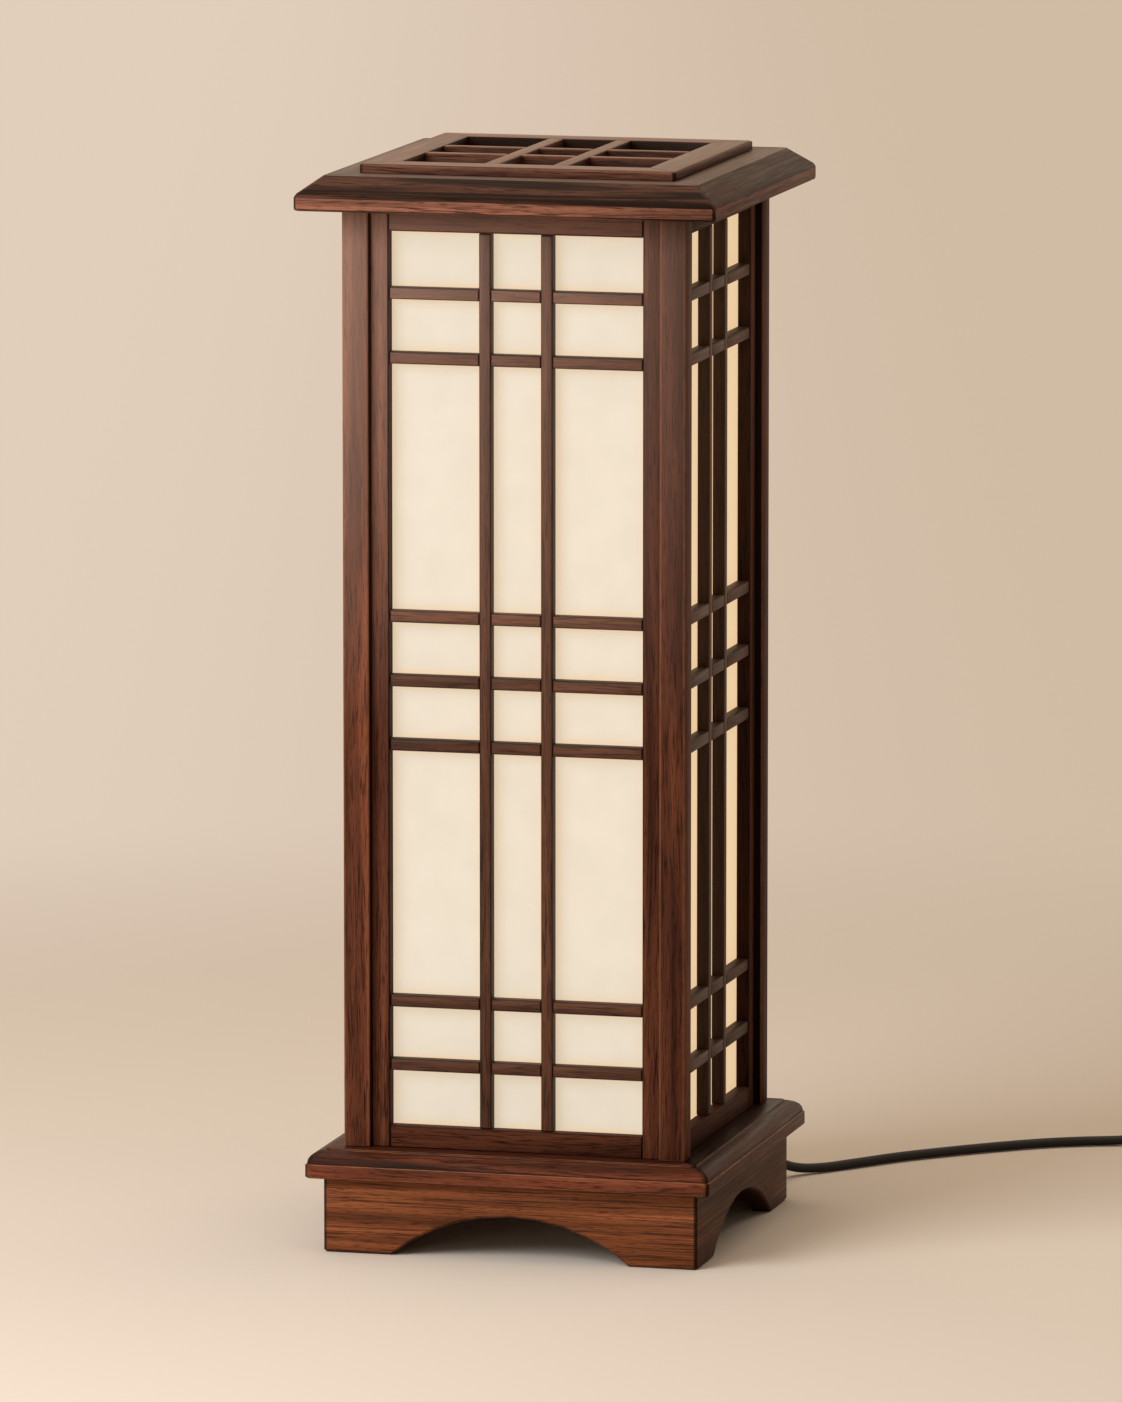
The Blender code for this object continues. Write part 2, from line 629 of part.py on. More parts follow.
def add_locknut():
    top = BOARD_BOTTOM - FIT_GAP
    bottom = top - NUT_THICKNESS
    clear = NIPPLE_RADIUS + FIT_GAP
    hexagon = []
    hole = []
    for k in range(TURNED_SIDES):
        angle = math.tau * k / TURNED_SIDES
        within = (angle % (math.pi / 3)) - math.pi / 6
        flat = NUT_ACROSS_FLATS / 2 / math.cos(within)
        hexagon.append((flat * math.cos(angle), flat * math.sin(angle)))
        hole.append((clear * math.cos(angle), clear * math.sin(angle)))
    rings = ((hole, bottom), (hexagon, bottom), (hexagon, top), (hole, top))
    loops = [[Vector((*p, z)) for p in ring] for ring, z in rings]
    piece("nipple_locknut", loft(loops, closed=True), BRASS)


def add_bulb():
    cap_bottom = HOLDER_BORE_FLOOR + FIT_GAP
    cap = [
        (0.0, cap_bottom),
        (BULB_CAP_TIP_RADIUS, cap_bottom),
        (BULB_CAP_RADIUS, cap_bottom + BULB_CAP_TIP),
        (BULB_CAP_RADIUS, BULB_CAP_TOP),
        (0.0, BULB_CAP_TOP),
    ]
    smooth_round(piece("bulb_cap", turned(cap), BRASS))

    bottom = BULB_CAP_TOP + FIT_GAP
    centre = bottom + BULB_LENGTH - BULB_RADIUS
    join_radius = BULB_RADIUS * math.cos(BULB_JOIN)
    join_height = centre + BULB_RADIUS * math.sin(BULB_JOIN)
    glass = [(0.0, bottom)]
    for k in range(BULB_NECK_STEPS):
        t = k / BULB_NECK_STEPS
        ease = t * t * (3.0 - 2.0 * t)
        glass.append((
            BULB_NECK_RADIUS + (join_radius - BULB_NECK_RADIUS) * ease,
            bottom + (join_height - bottom) * t,
        ))
    for k in range(BULB_GLOBE_STEPS):
        angle = BULB_JOIN + (math.pi / 2 - BULB_JOIN) * k / BULB_GLOBE_STEPS
        glass.append((BULB_RADIUS * math.cos(angle), centre + BULB_RADIUS * math.sin(angle)))
    glass.append((0.0, centre + BULB_RADIUS))
    smooth_round(piece("bulb_glass", turned(glass), OPAL))


def add_gland():
    # Ribbed strain relief through the rear apron, turned about Z and laid along +Y
    tail = GLAND_OUTSIDE + GLAND_FLANGE
    profile = [
        (0.0, GLAND_INNER_END),
        (GLAND_SHANK_RADIUS, GLAND_INNER_END),
        (GLAND_SHANK_RADIUS, GLAND_OUTSIDE),
        (GLAND_FLANGE_RADIUS, GLAND_OUTSIDE),
        (GLAND_FLANGE_RADIUS, tail),
    ]
    rib = (
        (0.0, 0.0),
        (GLAND_RIB_SHARE, 0.0),
        (GLAND_RIB_SHARE + GLAND_RIB_SLOPE, GLAND_GROOVE),
        (1.0 - GLAND_RIB_SLOPE, GLAND_GROOVE),
    )
    step = GLAND_TAIL / GLAND_RIBS
    for k in range(GLAND_RIBS):
        for share, groove in rib:
            run = (k + share) * step
            radius = GLAND_TAIL_RADIUS + (GLAND_TIP_RADIUS - GLAND_TAIL_RADIUS) * run / GLAND_TAIL
            profile.append((radius - groove, tail + run))
    profile += [(GLAND_TIP_RADIUS, GLAND_TIP), (0.0, GLAND_TIP)]
    lay = Matrix.Translation((GLAND_X, 0.0, GLAND_Z)) @ Matrix.Rotation(-math.pi / 2, 4, "X")
    bm = turned(profile)
    bm.transform(lay)
    bmesh.ops.recalc_face_normals(bm, faces=bm.faces)
    smooth_round(piece("cord_grommet", bm, VINYL))

    bore = GLAND_SHANK_RADIUS + FIT_GAP
    start, end = APRON_HALF - 2 * APRON_THICKNESS, APRON_HALF + APRON_THICKNESS
    hole = turned([(0.0, start), (bore, start), (bore, end), (0.0, end)])
    hole.transform(lay)
    bmesh.ops.recalc_face_normals(hole, faces=hole.faces)
    boolean(bpy.data.objects["rear_apron"], cutter("cord_hole", hole))


def smooth_route(points, step):
    # Even points along a smooth curve through the route, whose two end runs stay straight
    points = [Vector(p) for p in points]
    fine = [points[1]]
    for a, b, c, d in zip(points, points[1:], points[2:], points[3:]):
        for n in range(1, ROUTE_STEPS + 1):
            t = n / ROUTE_STEPS
            fine.append(0.5 * (
                2 * b + (c - a) * t + (2 * a - 5 * b + 4 * c - d) * t ** 2
                + (3 * b - a - 3 * c + d) * t ** 3
            ))
    travelled = [0.0]
    for p, q in zip(fine, fine[1:]):
        travelled.append(travelled[-1] + (q - p).length)
    count = max(2, round(travelled[-1] / step))
    even = [points[0]]
    at = 0
    for n in range(count + 1):
        want = travelled[-1] * n / count
        while at < len(fine) - 2 and travelled[at + 1] < want:
            at += 1
        share = (want - travelled[at]) / (travelled[at + 1] - travelled[at])
        even.append(fine[at].lerp(fine[at + 1], share))
    return even + [points[-1]]


def add_cord(name, points, resolution):
    curve = bpy.data.curves.new(name, "CURVE")
    curve.dimensions = "3D"
    curve.bevel_depth = CORD_RADIUS
    curve.bevel_resolution = resolution
    curve.use_fill_caps = True
    spline = curve.splines.new("POLY")
    spline.points.add(len(points) - 1)
    for knot, point in zip(spline.points, points):
        knot.co = (*point, 1.0)
    curve.materials.append(VINYL)
    obj = bpy.data.objects.new(name, curve)
    bpy.context.collection.objects.link(obj)
    return sum((q - p).length for p, q in zip(points, points[1:]))


def add_inner_lead():
    # From the nipple down to its lowest point and up to the gland, in shares of the way there
    start = NIPPLE_BOTTOM - FIT_GAP
    end = GLAND_INNER_END - FIT_GAP
    fall, rise = start - LEAD_SAG, GLAND_Z - LEAD_SAG
    route = [(0.0, 0.0, start), (0.0, 0.0, start - CORD_END / 2)]
    route += [(x * GLAND_X, y * end, LEAD_SAG + z * fall) for x, y, z in LEAD_FALL]
    route += [(x * GLAND_X, y * end, LEAD_SAG + z * rise) for x, y, z in LEAD_RISE]
    route += [(GLAND_X, end - CORD_END, GLAND_Z), (GLAND_X, end, GLAND_Z)]
    return add_cord("inner_lead", smooth_route(route, CORD_STEP), CORD_FACETS)


def add_cord_lead():
    start = GLAND_TIP + FIT_GAP
    end = SWITCH_X - SWITCH_LENGTH / 2 - FIT_GAP
    route = [
        (GLAND_X, start, GLAND_Z), (GLAND_X, start + CORD_END, GLAND_Z),
        (GLAND_X + 0.0005, start + 0.0179, 0.0165), (GLAND_X + 0.0035, start + 0.0314, 0.0098),
        (GLAND_X + 0.0110, start + 0.0449, 0.0048), (GLAND_X + 0.0230, start + 0.0584, CORD_FLOOR),
        (0.1320, 0.2240, CORD_FLOOR), (0.1535, 0.2508, CORD_FLOOR),
        (0.1795, 0.2765, CORD_FLOOR), (0.2040, 0.2980, CORD_FLOOR), (0.2275, 0.3160, CORD_FLOOR),
        (0.2515, 0.3290, CORD_FLOOR), (0.2750, 0.3372, 0.0034), (0.2930, 0.3416, 0.0056),
        (end - CORD_END, SWITCH_Y, SWITCH_AXIS_Z), (end, SWITCH_Y, SWITCH_AXIS_Z),
    ]
    return add_cord("cord_lead", smooth_route(route, CORD_STEP), CORD_FACETS)


def coil_turns():
    # In on the floor layer, up a layer where the spiral reverses, and out again
    total = COIL_TURNS_IN + COIL_CLIMB + COIL_TURNS_OUT
    reversal = COIL_TURNS_IN + COIL_CLIMB / 2
    points = []
    for k in range(round(total * COIL_POINTS) + 1):
        turn = k / COIL_POINTS
        inward = min(turn, reversal) - max(turn - reversal, 0.0)
        climb = min(max((turn - COIL_TURNS_IN) / COIL_CLIMB, 0.0), 1.0)
        radius = COIL_RADIUS - COIL_PITCH * inward
        angle = math.pi / 2 + math.tau * turn
        points.append(Vector((
            COIL_X + radius * math.cos(angle),
            COIL_Y + radius * math.sin(angle),
            CORD_FLOOR + COIL_PITCH * climb * climb * (3.0 - 2.0 * climb),
        )))
    return points


def add_cord_coil():
    start = SWITCH_X + SWITCH_LENGTH / 2 + FIT_GAP
    end = PLUG_X - FIT_GAP
    turns = coil_turns()
    link = [
        (start, SWITCH_Y, SWITCH_AXIS_Z), (start + CORD_END, SWITCH_Y, SWITCH_AXIS_Z),
        (0.3960, 0.3405, 0.0052), (0.4085, 0.3315, 0.0034), (0.4135, 0.3170, CORD_FLOOR),
        (0.4095, 0.3020, CORD_FLOOR), (0.3975, 0.2920, CORD_FLOOR), (0.3790, 0.2885, CORD_FLOOR),
        turns[0],
    ]
    last = turns[-1]
    tail = [
        last, last + Vector((-0.0002, -0.0120, -0.0003)), last + Vector((0.0008, -0.0250, -0.0030)),
        (0.3185, 0.2060, 0.0042), (0.3250, 0.1920, 0.0044), (0.3340, 0.1830, 0.0058),
        (end - CORD_END, PLUG_Y, PLUG_AXIS_Z), (end, PLUG_Y, PLUG_AXIS_Z),
    ]
    before = smooth_route(link, CORD_STEP)
    after = smooth_route(tail, CORD_STEP)
    points = before[:-1] + turns + after[1:]
    length = add_cord("cord_coil", points, COIL_FACETS)
    near = COIL_POINTS // 2
    least = min(
        (p - q).length
        for i, p in enumerate(points)
        for q in points[i + near:]
    )
    print(f"coil: least gap between turns {1000 * (least - 2 * CORD_RADIUS):.2f} mm")
    return length


def block_section(x, width, height, corner, middle):
    radius = min(corner, BLOCK_ROUND_LIMIT * min(width, height))
    return [Vector((x, y, middle + z)) for y, z in rounded_rectangle(width, height, radius)]


def tapered_end(width, height, nose, taper, corner, axis):
    # Cord end of a moulded block, from a square nose on the cord's axis to the full section
    flare_width, flare_height = nose * BLOCK_FLARE_WIDTH, nose * BLOCK_FLARE_HEIGHT
    return [
        block_section(0.0, nose, nose, corner, axis),
        block_section(taper / 2, flare_width, flare_height, corner, axis),
        block_section(taper, width - corner, height - corner / 2, corner, height / 2),
        block_section(taper + corner, width, height, corner, height / 2),
    ]


def rocker_pin(radius, half):
    # Pin through the rocker's pivot, turned about Z and laid along Y
    pin = turned([(0.0, -half), (radius, -half), (radius, half), (0.0, half)])
    pin.transform(Matrix.Translation(ROCKER_PIVOT) @ Matrix.Rotation(-math.pi / 2, 4, "X"))
    bmesh.ops.recalc_face_normals(pin, faces=pin.faces)
    return pin


def add_switch_body():
    near = tapered_end(
        SWITCH_WIDTH, SWITCH_HEIGHT, SWITCH_NOSE, SWITCH_TAPER, SWITCH_CORNER, SWITCH_AXIS_Z,
    )
    far = [[Vector((SWITCH_LENGTH - p.x, p.y, p.z)) for p in loop] for loop in reversed(near)]
    bm = loft(near + far)
    bm.transform(Matrix.Translation((SWITCH_X - SWITCH_LENGTH / 2, SWITCH_Y, 0.0)))
    body = piece("switch_body", bm, PHENOLIC)
    half_length = ROCKER_LENGTH / 2 + ROCKER_CLEARANCE
    half_width = ROCKER_WIDTH / 2 + FIT_GAP
    low = (SWITCH_X - half_length, SWITCH_Y - half_width, SWITCH_HEIGHT - WELL_DEPTH)
    high = (SWITCH_X + half_length, SWITCH_Y + half_width, SWITCH_HEIGHT + WELL_DEPTH)
    boolean(body, cutter("rocker_well", box(low, high)))
    holes = rocker_pin(PIN_RADIUS + FIT_GAP, ROCKER_PIN_HALF + FIT_GAP)
    boolean(body, cutter("rocker_pin_holes", holes))


def add_rocker():
    # Dished top and a belly that clears the well, tilted to its off position
    half = ROCKER_LENGTH / 2
    side = [
        (-half, ROCKER_TOP + ROCKER_DISH), (0.0, ROCKER_TOP), (half, ROCKER_TOP + ROCKER_DISH),
        (half, -ROCKER_UNDER / 2), (half / 2, -ROCKER_UNDER), (-half / 2, -ROCKER_UNDER),
        (-half, -ROCKER_UNDER / 2),
    ]
    loops = [[Vector((x, y, z)) for x, z in side] for y in (-ROCKER_WIDTH / 2, ROCKER_WIDTH / 2)]
    rocker = piece("switch_rocker", loft(loops), VINYL)
    rocker.location = ROCKER_PIVOT
    rocker.rotation_euler.y = -ROCKER_TILT
    boolean(rocker, cutter("rocker_pins", rocker_pin(PIN_RADIUS, ROCKER_PIN_HALF)), "UNION")


def add_plug():
    middle = PLUG_HEIGHT / 2
    loops = tapered_end(PLUG_WIDTH, PLUG_HEIGHT, PLUG_TAIL, PLUG_TAPER, PLUG_CORNER, PLUG_AXIS_Z)
    loops.append(block_section(PLUG_LENGTH, PLUG_WIDTH, PLUG_HEIGHT, PLUG_CORNER, middle))
    bm = loft(loops)
    bm.transform(Matrix.Translation((PLUG_X, PLUG_Y, 0.0)))
    body = piece("plug_body", bm, VINYL)
    face = PLUG_X + PLUG_LENGTH
    slots = []
    for name, side in (("left", 1), ("right", -1)):
        y = PLUG_Y + side * BLADE_SPACING / 2
        outline = [
            (face - BLADE_ROOT, -BLADE_HEIGHT / 2), (face + BLADE_LENGTH - BLADE_TIP, -BLADE_HEIGHT / 2),
            (face + BLADE_LENGTH, -BLADE_HEIGHT / 2 + BLADE_TIP),
            (face + BLADE_LENGTH, BLADE_HEIGHT / 2 - BLADE_TIP),
            (face + BLADE_LENGTH - BLADE_TIP, BLADE_HEIGHT / 2), (face - BLADE_ROOT, BLADE_HEIGHT / 2),
        ]
        faces = (y - BLADE_THICKNESS / 2, y + BLADE_THICKNESS / 2)
        loops = [[Vector((x, at, middle + z)) for x, z in outline] for at in faces]
        piece("plug_blade_" + name, loft(loops), BRASS)
        low = (face - BLADE_ROOT - FIT_GAP, faces[0] - FIT_GAP, middle - BLADE_HEIGHT / 2 - FIT_GAP)
        high = (face + BLADE_LENGTH, faces[1] + FIT_GAP, middle + BLADE_HEIGHT / 2 + FIT_GAP)
        slots.append(box(low, high))
    boolean(body, cutter("blade_slots", merged(*slots)))


for side_name, side_turn in SIDES:
    add_apron(side_name + "_apron", side_turn)
    add_plinth(side_name + "_plinth_moulding", side_turn)
    add_cap(side_name + "_cap_member", side_turn)
    add_grille_side("grille_" + side_name + "_rail", side_turn)
    panel = side_name + "_panel_"
    add_stile(panel + "left_stile", -1, side_turn)
    add_stile(panel + "right_stile", 1, side_turn)
    add_rail(panel + "top_rail", PANE_TOP, BODY_TOP, -1, side_turn)
    add_rail(panel + "bottom_rail", BODY_BOTTOM, PANE_BOTTOM, 1, side_turn)
    add_lattice(panel + "lattice", side_turn)
    add_paper(panel + "paper", side_turn)

for front_rear, sy in (("front", -1), ("rear", 1)):
    for left_right, sx in (("left", -1), ("right", 1)):
        add_post(f"{front_rear}_{left_right}_post", sx, sy)

add_grille_bars("grille_bars")
add_base_board("base_board")
add_holder()
add_nipple()
add_locknut()
add_bulb()
add_gland()
add_switch_body()
add_rocker()
add_plug()
inner_length = add_inner_lead()
lead_length = add_cord_lead()
coil_length = add_cord_coil()
cord_length = lead_length + SWITCH_LENGTH + coil_length
print(f"inner lead {inner_length:.3f} m, cord to the switch {lead_length:.3f} m")
print(f"on to the plug {coil_length:.3f} m, cord with the switch {cord_length:.3f} m")
print(f"height {GRILLE_TOP:.4f} m")
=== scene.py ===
# Shoji bedside lamp: timber, lattice strips, paper, bulb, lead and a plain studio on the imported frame
import json
import math
import random

import bmesh
import bpy
from mathutils import Matrix, Vector, noise

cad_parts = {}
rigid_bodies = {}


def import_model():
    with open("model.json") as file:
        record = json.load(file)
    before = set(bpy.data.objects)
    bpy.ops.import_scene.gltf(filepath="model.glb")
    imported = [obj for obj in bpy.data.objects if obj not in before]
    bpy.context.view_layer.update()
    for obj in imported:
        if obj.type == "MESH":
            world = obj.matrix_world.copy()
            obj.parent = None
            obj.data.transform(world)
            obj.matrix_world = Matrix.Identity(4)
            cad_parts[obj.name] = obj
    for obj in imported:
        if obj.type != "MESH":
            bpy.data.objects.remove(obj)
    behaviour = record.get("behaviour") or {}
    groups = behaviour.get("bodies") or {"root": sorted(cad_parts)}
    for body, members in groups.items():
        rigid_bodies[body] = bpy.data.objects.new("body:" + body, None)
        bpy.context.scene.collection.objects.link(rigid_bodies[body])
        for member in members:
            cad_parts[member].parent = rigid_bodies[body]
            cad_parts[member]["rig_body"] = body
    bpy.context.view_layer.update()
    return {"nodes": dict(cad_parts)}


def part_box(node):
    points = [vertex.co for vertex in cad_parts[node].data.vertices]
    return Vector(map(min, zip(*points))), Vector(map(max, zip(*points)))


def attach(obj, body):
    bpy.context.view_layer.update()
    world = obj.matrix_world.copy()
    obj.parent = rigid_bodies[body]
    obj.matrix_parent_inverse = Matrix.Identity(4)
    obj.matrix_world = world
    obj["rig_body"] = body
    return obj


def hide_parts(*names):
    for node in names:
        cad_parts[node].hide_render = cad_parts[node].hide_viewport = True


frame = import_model()
nodes = frame["nodes"]
scene = bpy.context.scene
sideTurns = {"front": 0, "right": 90, "rear": 180, "left": 270}    # degrees about Z
print("frame loaded:", len(nodes), "nodes")


# Camera at the photograph's angle, a long lens so the sides stay nearly parallel
shot = {
    "azimuth": 14.585, "elevation": 8.512,      # degrees
    "distance": 6.9407, "clipEnd": 200,         # metres
    "lens": 299.2,                              # millimetres
    "aimHeight": 0.3177, "aimRight": 0.0018,    # metres, from the middle of the lamp's foot
}


def setCamera():
    turn, tip = math.radians(shot["azimuth"]), math.radians(shot["elevation"])
    right = Vector((math.cos(turn), math.sin(turn), 0))
    back = Vector((math.sin(turn) * math.cos(tip), -math.cos(turn) * math.cos(tip), math.sin(tip)))
    aim = Vector((0, 0, shot["aimHeight"])) + right * shot["aimRight"]
    lensData = bpy.data.cameras.new("camera")
    lensData.lens = shot["lens"]
    lensData.clip_end = shot["clipEnd"]
    camera = bpy.data.objects.new("camera", lensData)
    camera.location = aim + back * shot["distance"]
    camera.rotation_euler = (-back).to_track_quat("-Z", "Y").to_euler()
    scene.collection.objects.link(camera)
    scene.camera = camera


setCamera()
print("camera set")


def linear(hexColour):
    channels = [int(hexColour[k:k + 2], 16) / 255 for k in (1, 3, 5)]
    return [c / 12.92 if c <= 0.04045 else ((c + 0.055) / 1.055) ** 2.4 for c in channels] + [1]


def perMm(*sizes):
    return [1000 / size for size in sizes]      # cells to the metre from a size in millimetres


def fill(tree, node, inputs):
    # A socket is linked, anything else is a value
    for key, value in inputs.items():
        if isinstance(value, bpy.types.NodeSocket):
            tree.links.new(value, node.inputs[key])
        else:
            node.inputs[key].default_value = value


def addNode(tree, kind, inputs=None, stops=None, **settings):
    node = tree.nodes.new(kind)
    for key, value in settings.items():
        setattr(node, key, value)
    fill(tree, node, inputs or {})
    if stops:
        ramp = node.color_ramp.elements
        while len(ramp) < len(stops):
            ramp.new(0.5)               # its place is set below
        for element, (place, colour) in zip(ramp, stops):
            element.position = place
            element.color = linear(colour)
    return node


def maths(tree, operation, *values):
    return addNode(tree, "ShaderNodeMath", dict(enumerate(values)), operation=operation).outputs[0]


def ranged(tree, value, low, high, start=0, end=1, **settings):
    # From start to end while the value goes from low to high, and level beyond
    inputs = {0: value, 1: low, 2: high, 3: start, 4: end}
    return addNode(tree, "ShaderNodeMapRange", inputs, **settings).outputs[0]


def mixed(tree, share, first, second):
    return addNode(tree, "ShaderNodeMix", {0: share, 6: first, 7: second}, data_type="RGBA").outputs[2]


def clouded(tree, vector, size, **inputs):
    cells = {"Vector": vector, "Scale": perMm(size)[0], **inputs}
    return addNode(tree, "ShaderNodeTexNoise", cells).outputs[0]


def attribute(tree, name):
    return addNode(tree, "ShaderNodeAttribute", attribute_name=name).outputs["Fac"]


def objectPlace(tree):
    return addNode(tree, "ShaderNodeTexCoord").outputs["Object"]


def bumped(tree, height, strength, distance, **settings):
    inputs = {"Strength": strength, "Distance": distance, "Height": height}
    return addNode(tree, "ShaderNodeBump", inputs, **settings).outputs[0]


def newMaterial(name):
    material = bpy.data.materials.new(name)
    material.use_nodes = True
    return material, material.node_tree, material.node_tree.nodes["Principled BSDF"]


noiseMiddle = 0.5                               # noise swings about this value

# Rosewood, planed, stained and rubbed to satin: a red-brown ground that clouds slowly across the board,
# fine dark lines along it, open pores as short dashes, arrises lighter as wear with a painted highlight,
# and a painted sheen that greys the tops and the upper left.
# Sizes of a pattern are in millimetres along and across the grain
rosewood = {
    "dark": "#371d14", "ground": "#5d3525", "light": "#794630",
    "line": "#200f0a", "pore": "#130906", "wornAndHighlight": "#a06a4c", "painted_sheen": "#ab8d81",
    "wander": (260, 40), "wanderBy": 0.007,     # metres sideways
    "rings": 5.2, "lateWood": 0.4, "ringShare": 0.14,   # mm apart, where late wood starts, its darkness
    "figure": (300, 12), "figureSpread": 0.16,  # noise between the ground and its dark or light
    "lines": (45, 2.0), "lineWidth": 0.085, "lineShare": 0.92,
    "lineBreaks": (22, 1.1), "breakEdges": (0.35, 0.60),
    "pores": (7, 0.5), "poreEdges": (0.60, 0.70), "poreShare": 0.45,    # coarser than life, to be seen
    "wearAndHighlightPatch": 9, "wearAndHighlightShare": 0.50,
    "topSheen": 0.34, "topSheenFrom": 0.31, "topSheenTo": 0.60,           # painted sheen towards the top, heights in metres
    "lightSide": -0.10, "darkSide": 0.10, "darkSideShare": 0.55,    # painted sheen, less to the right, metres
    "roughness": (0.50, 0.62), "roughEdges": (0.3, 0.7), "shine": 0.07, "shineTint": "#e0cfbf",
    "relief": 0.3, "reliefDepth": 0.0002,
}
warmWood = dict(
    rosewood, dark="#402213", ground="#623720", light="#7e4a2d", figure=(280, 7), lines=(110, 1.3),
    lineBreaks=(50, 0.9), lineWidth=0.10, roughness=(0.42, 0.55), shine=0.12, topSheen=0)
# The plinth's arrises are lighter still: wear with a painted highlight
ledgeWood = dict(
    rosewood, dark="#2e1512", ground="#562d1e", light="#78402b", roughness=(0.36, 0.48), shine=0.10,
    topSheen=0, wornAndHighlight="#c08a68", wearAndHighlightShare=0.9)
capWood = dict(
    rosewood, dark="#2c1610", ground="#603d30", light="#835644", roughness=(0.40, 0.52), shine=0.10,
    topSheen=0, painted_sheen="#a08e82")
latticeWood = dict(
    rosewood, dark="#3a221a", ground="#5f3a2a", light="#774a37", figure=(240, 9),
    roughness=(0.45, 0.58), shine=0.30)
boardWood = dict(
    rosewood, dark="#5a3a28", ground="#7a5138", light="#8d6244", roughness=(0.6, 0.75))


def makeWood(name, look):
    material, tree, shader = newMaterial(name)
    grain = addNode(tree, "ShaderNodeAttribute", attribute_name="grain").outputs["Vector"]
    tone, wear_and_highlight = attribute(tree, "tone"), attribute(tree, "wear_and_highlight")
    painted_sheen, contrast = attribute(tree, "painted_sheen"), attribute(tree, "contrast")

    def patterned(size, vector, **inputs):
        along, across = size
        cells = {"Vector": vector, "Scale": perMm(along, across, across)}
        mapped = addNode(tree, "ShaderNodeMapping", cells).outputs[0]
        return addNode(tree, "ShaderNodeTexNoise", {"Vector": mapped, "Scale": 1, **inputs}).outputs

    def tinted(colour, share, key):
        return mixed(tree, share, colour, linear(look[key]))

    # The ground's figure, along fibres that wander
    drift = patterned(look["wander"], grain, Detail=1)["Color"]
    wander = (0, look["wanderBy"], look["wanderBy"])
    bent = addNode(tree, "ShaderNodeVectorMath", {0: drift, 1: wander, 2: grain},
                   operation="MULTIPLY_ADD").outputs[0]
    figure = patterned(look["figure"], bent, Detail=3, Roughness=0.5, Distortion=0.4)[0]
    swing = maths(tree, "SUBTRACT", figure, noiseMiddle)
    swung = maths(tree, "MULTIPLY_ADD", swing, contrast, noiseMiddle)
    spread = look["figureSpread"]
    stops = [(noiseMiddle - spread, look["dark"]), (noiseMiddle, look["ground"]),
             (noiseMiddle + spread, look["light"])]
    ground = addNode(tree, "ShaderNodeValToRGB", {0: swung}, stops=stops).outputs[0]

    # Rings, broken lines and pores
    ringScale = math.tau / 20 * perMm(look["rings"])[0]     # at a scale of one, rings are tau / 20 apart
    rings = addNode(tree, "ShaderNodeTexWave", {"Vector": bent, "Scale": ringScale}, wave_type="RINGS",
                    rings_direction="X", wave_profile="SAW").outputs["Fac"]
    late = ranged(tree, rings, look["lateWood"], 1, end=look["ringShare"])
    lines = patterned(look["lines"], bent, Detail=1)[0]
    apart = maths(tree, "ABSOLUTE", maths(tree, "SUBTRACT", lines, noiseMiddle))
    drawn = ranged(tree, apart, 0, look["lineWidth"], 1, 0)
    breaks = patterned(look["lineBreaks"], bent, Detail=0)[0]
    marks = maths(tree, "MULTIPLY", drawn, ranged(tree, breaks, *look["breakEdges"], end=look["lineShare"]))
    dashes = patterned(look["pores"], bent, Detail=0)[0]
    pores = ranged(tree, dashes, *look["poreEdges"], end=look["poreShare"])
    pored = tinted(tinted(tinted(ground, late, "line"), marks, "line"), pores, "pore")
    toned = addNode(tree, "ShaderNodeHueSaturation", {"Value": tone, "Color": pored}).outputs[0]

    # Painted sheen on the tops and towards the upper left, and arrises lighter as wear with a painted
    # highlight
    spot = addNode(tree, "ShaderNodeSeparateXYZ", {0: objectPlace(tree)}).outputs
    mostSheen = maths(tree, "MULTIPLY", tone, look["topSheen"])
    upward = ranged(tree, spot["Z"], look["topSheenFrom"], look["topSheenTo"], end=mostSheen)
    leftward = ranged(tree, spot["X"], look["lightSide"], look["darkSide"], 1, look["darkSideShare"])
    sheenShare = maths(tree, "MAXIMUM", painted_sheen, maths(tree, "MULTIPLY", upward, leftward))
    patch = clouded(tree, grain, look["wearAndHighlightPatch"])
    wornAndLit = maths(tree, "MULTIPLY", wear_and_highlight, maths(tree, "MULTIPLY", patch, look["wearAndHighlightShare"]))

    relief = maths(tree, "ADD", marks, dashes)
    fill(tree, shader, {
        "Base Color": tinted(tinted(toned, sheenShare, "painted_sheen"), wornAndLit, "wornAndHighlight"),
        "Roughness": ranged(tree, lines, *look["roughEdges"], *look["roughness"]),
        "Normal": bumped(tree, relief, look["relief"], look["reliefDepth"], invert=True),
        "Specular IOR Level": look["shine"], "Specular Tint": linear(look["shineTint"]),
    })
    return material


satinRosewood = makeWood("satin rosewood", rosewood)
warmRosewood = makeWood("red-brown rosewood", warmWood)
polishedRosewood = makeWood("polished rosewood", ledgeWood)
figuredRosewood = makeWood("figured rosewood", capWood)
rosewoodStrip = makeWood("rosewood lattice strip", latticeWood)
plainBoard = makeWood("plain stained board", boardWood)

# Moulded, turned or drawn surfaces: two near colours in a fine clouding, and grit, sizes in millimetres
plain = {
    "colourEdges": (0.35, 0.65), "roughEdges": (0.3, 0.7), "gritDepth": 0.0001,     # metres
    "metallic": 0, "shine": 0.5,
}


def makePlain(name, **changes):
    look = dict(plain, **changes)
    material, tree, shader = newMaterial(name)
    place = objectPlace(tree)
    cloud = clouded(tree, place, look["cloud"], Detail=3)
    stops = list(zip(look["colourEdges"], look["colours"]))
    grit = clouded(tree, place, look["grit"], Detail=1)
    fill(tree, shader, {
        "Base Color": addNode(tree, "ShaderNodeValToRGB", {0: cloud}, stops=stops).outputs[0],
        "Roughness": ranged(tree, cloud, *look["roughEdges"], *look["roughness"]),
        "Normal": bumped(tree, grit, look["bump"], look["gritDepth"]),
        "Metallic": look["metallic"], "Specular IOR Level": look["shine"],
    })
    return material


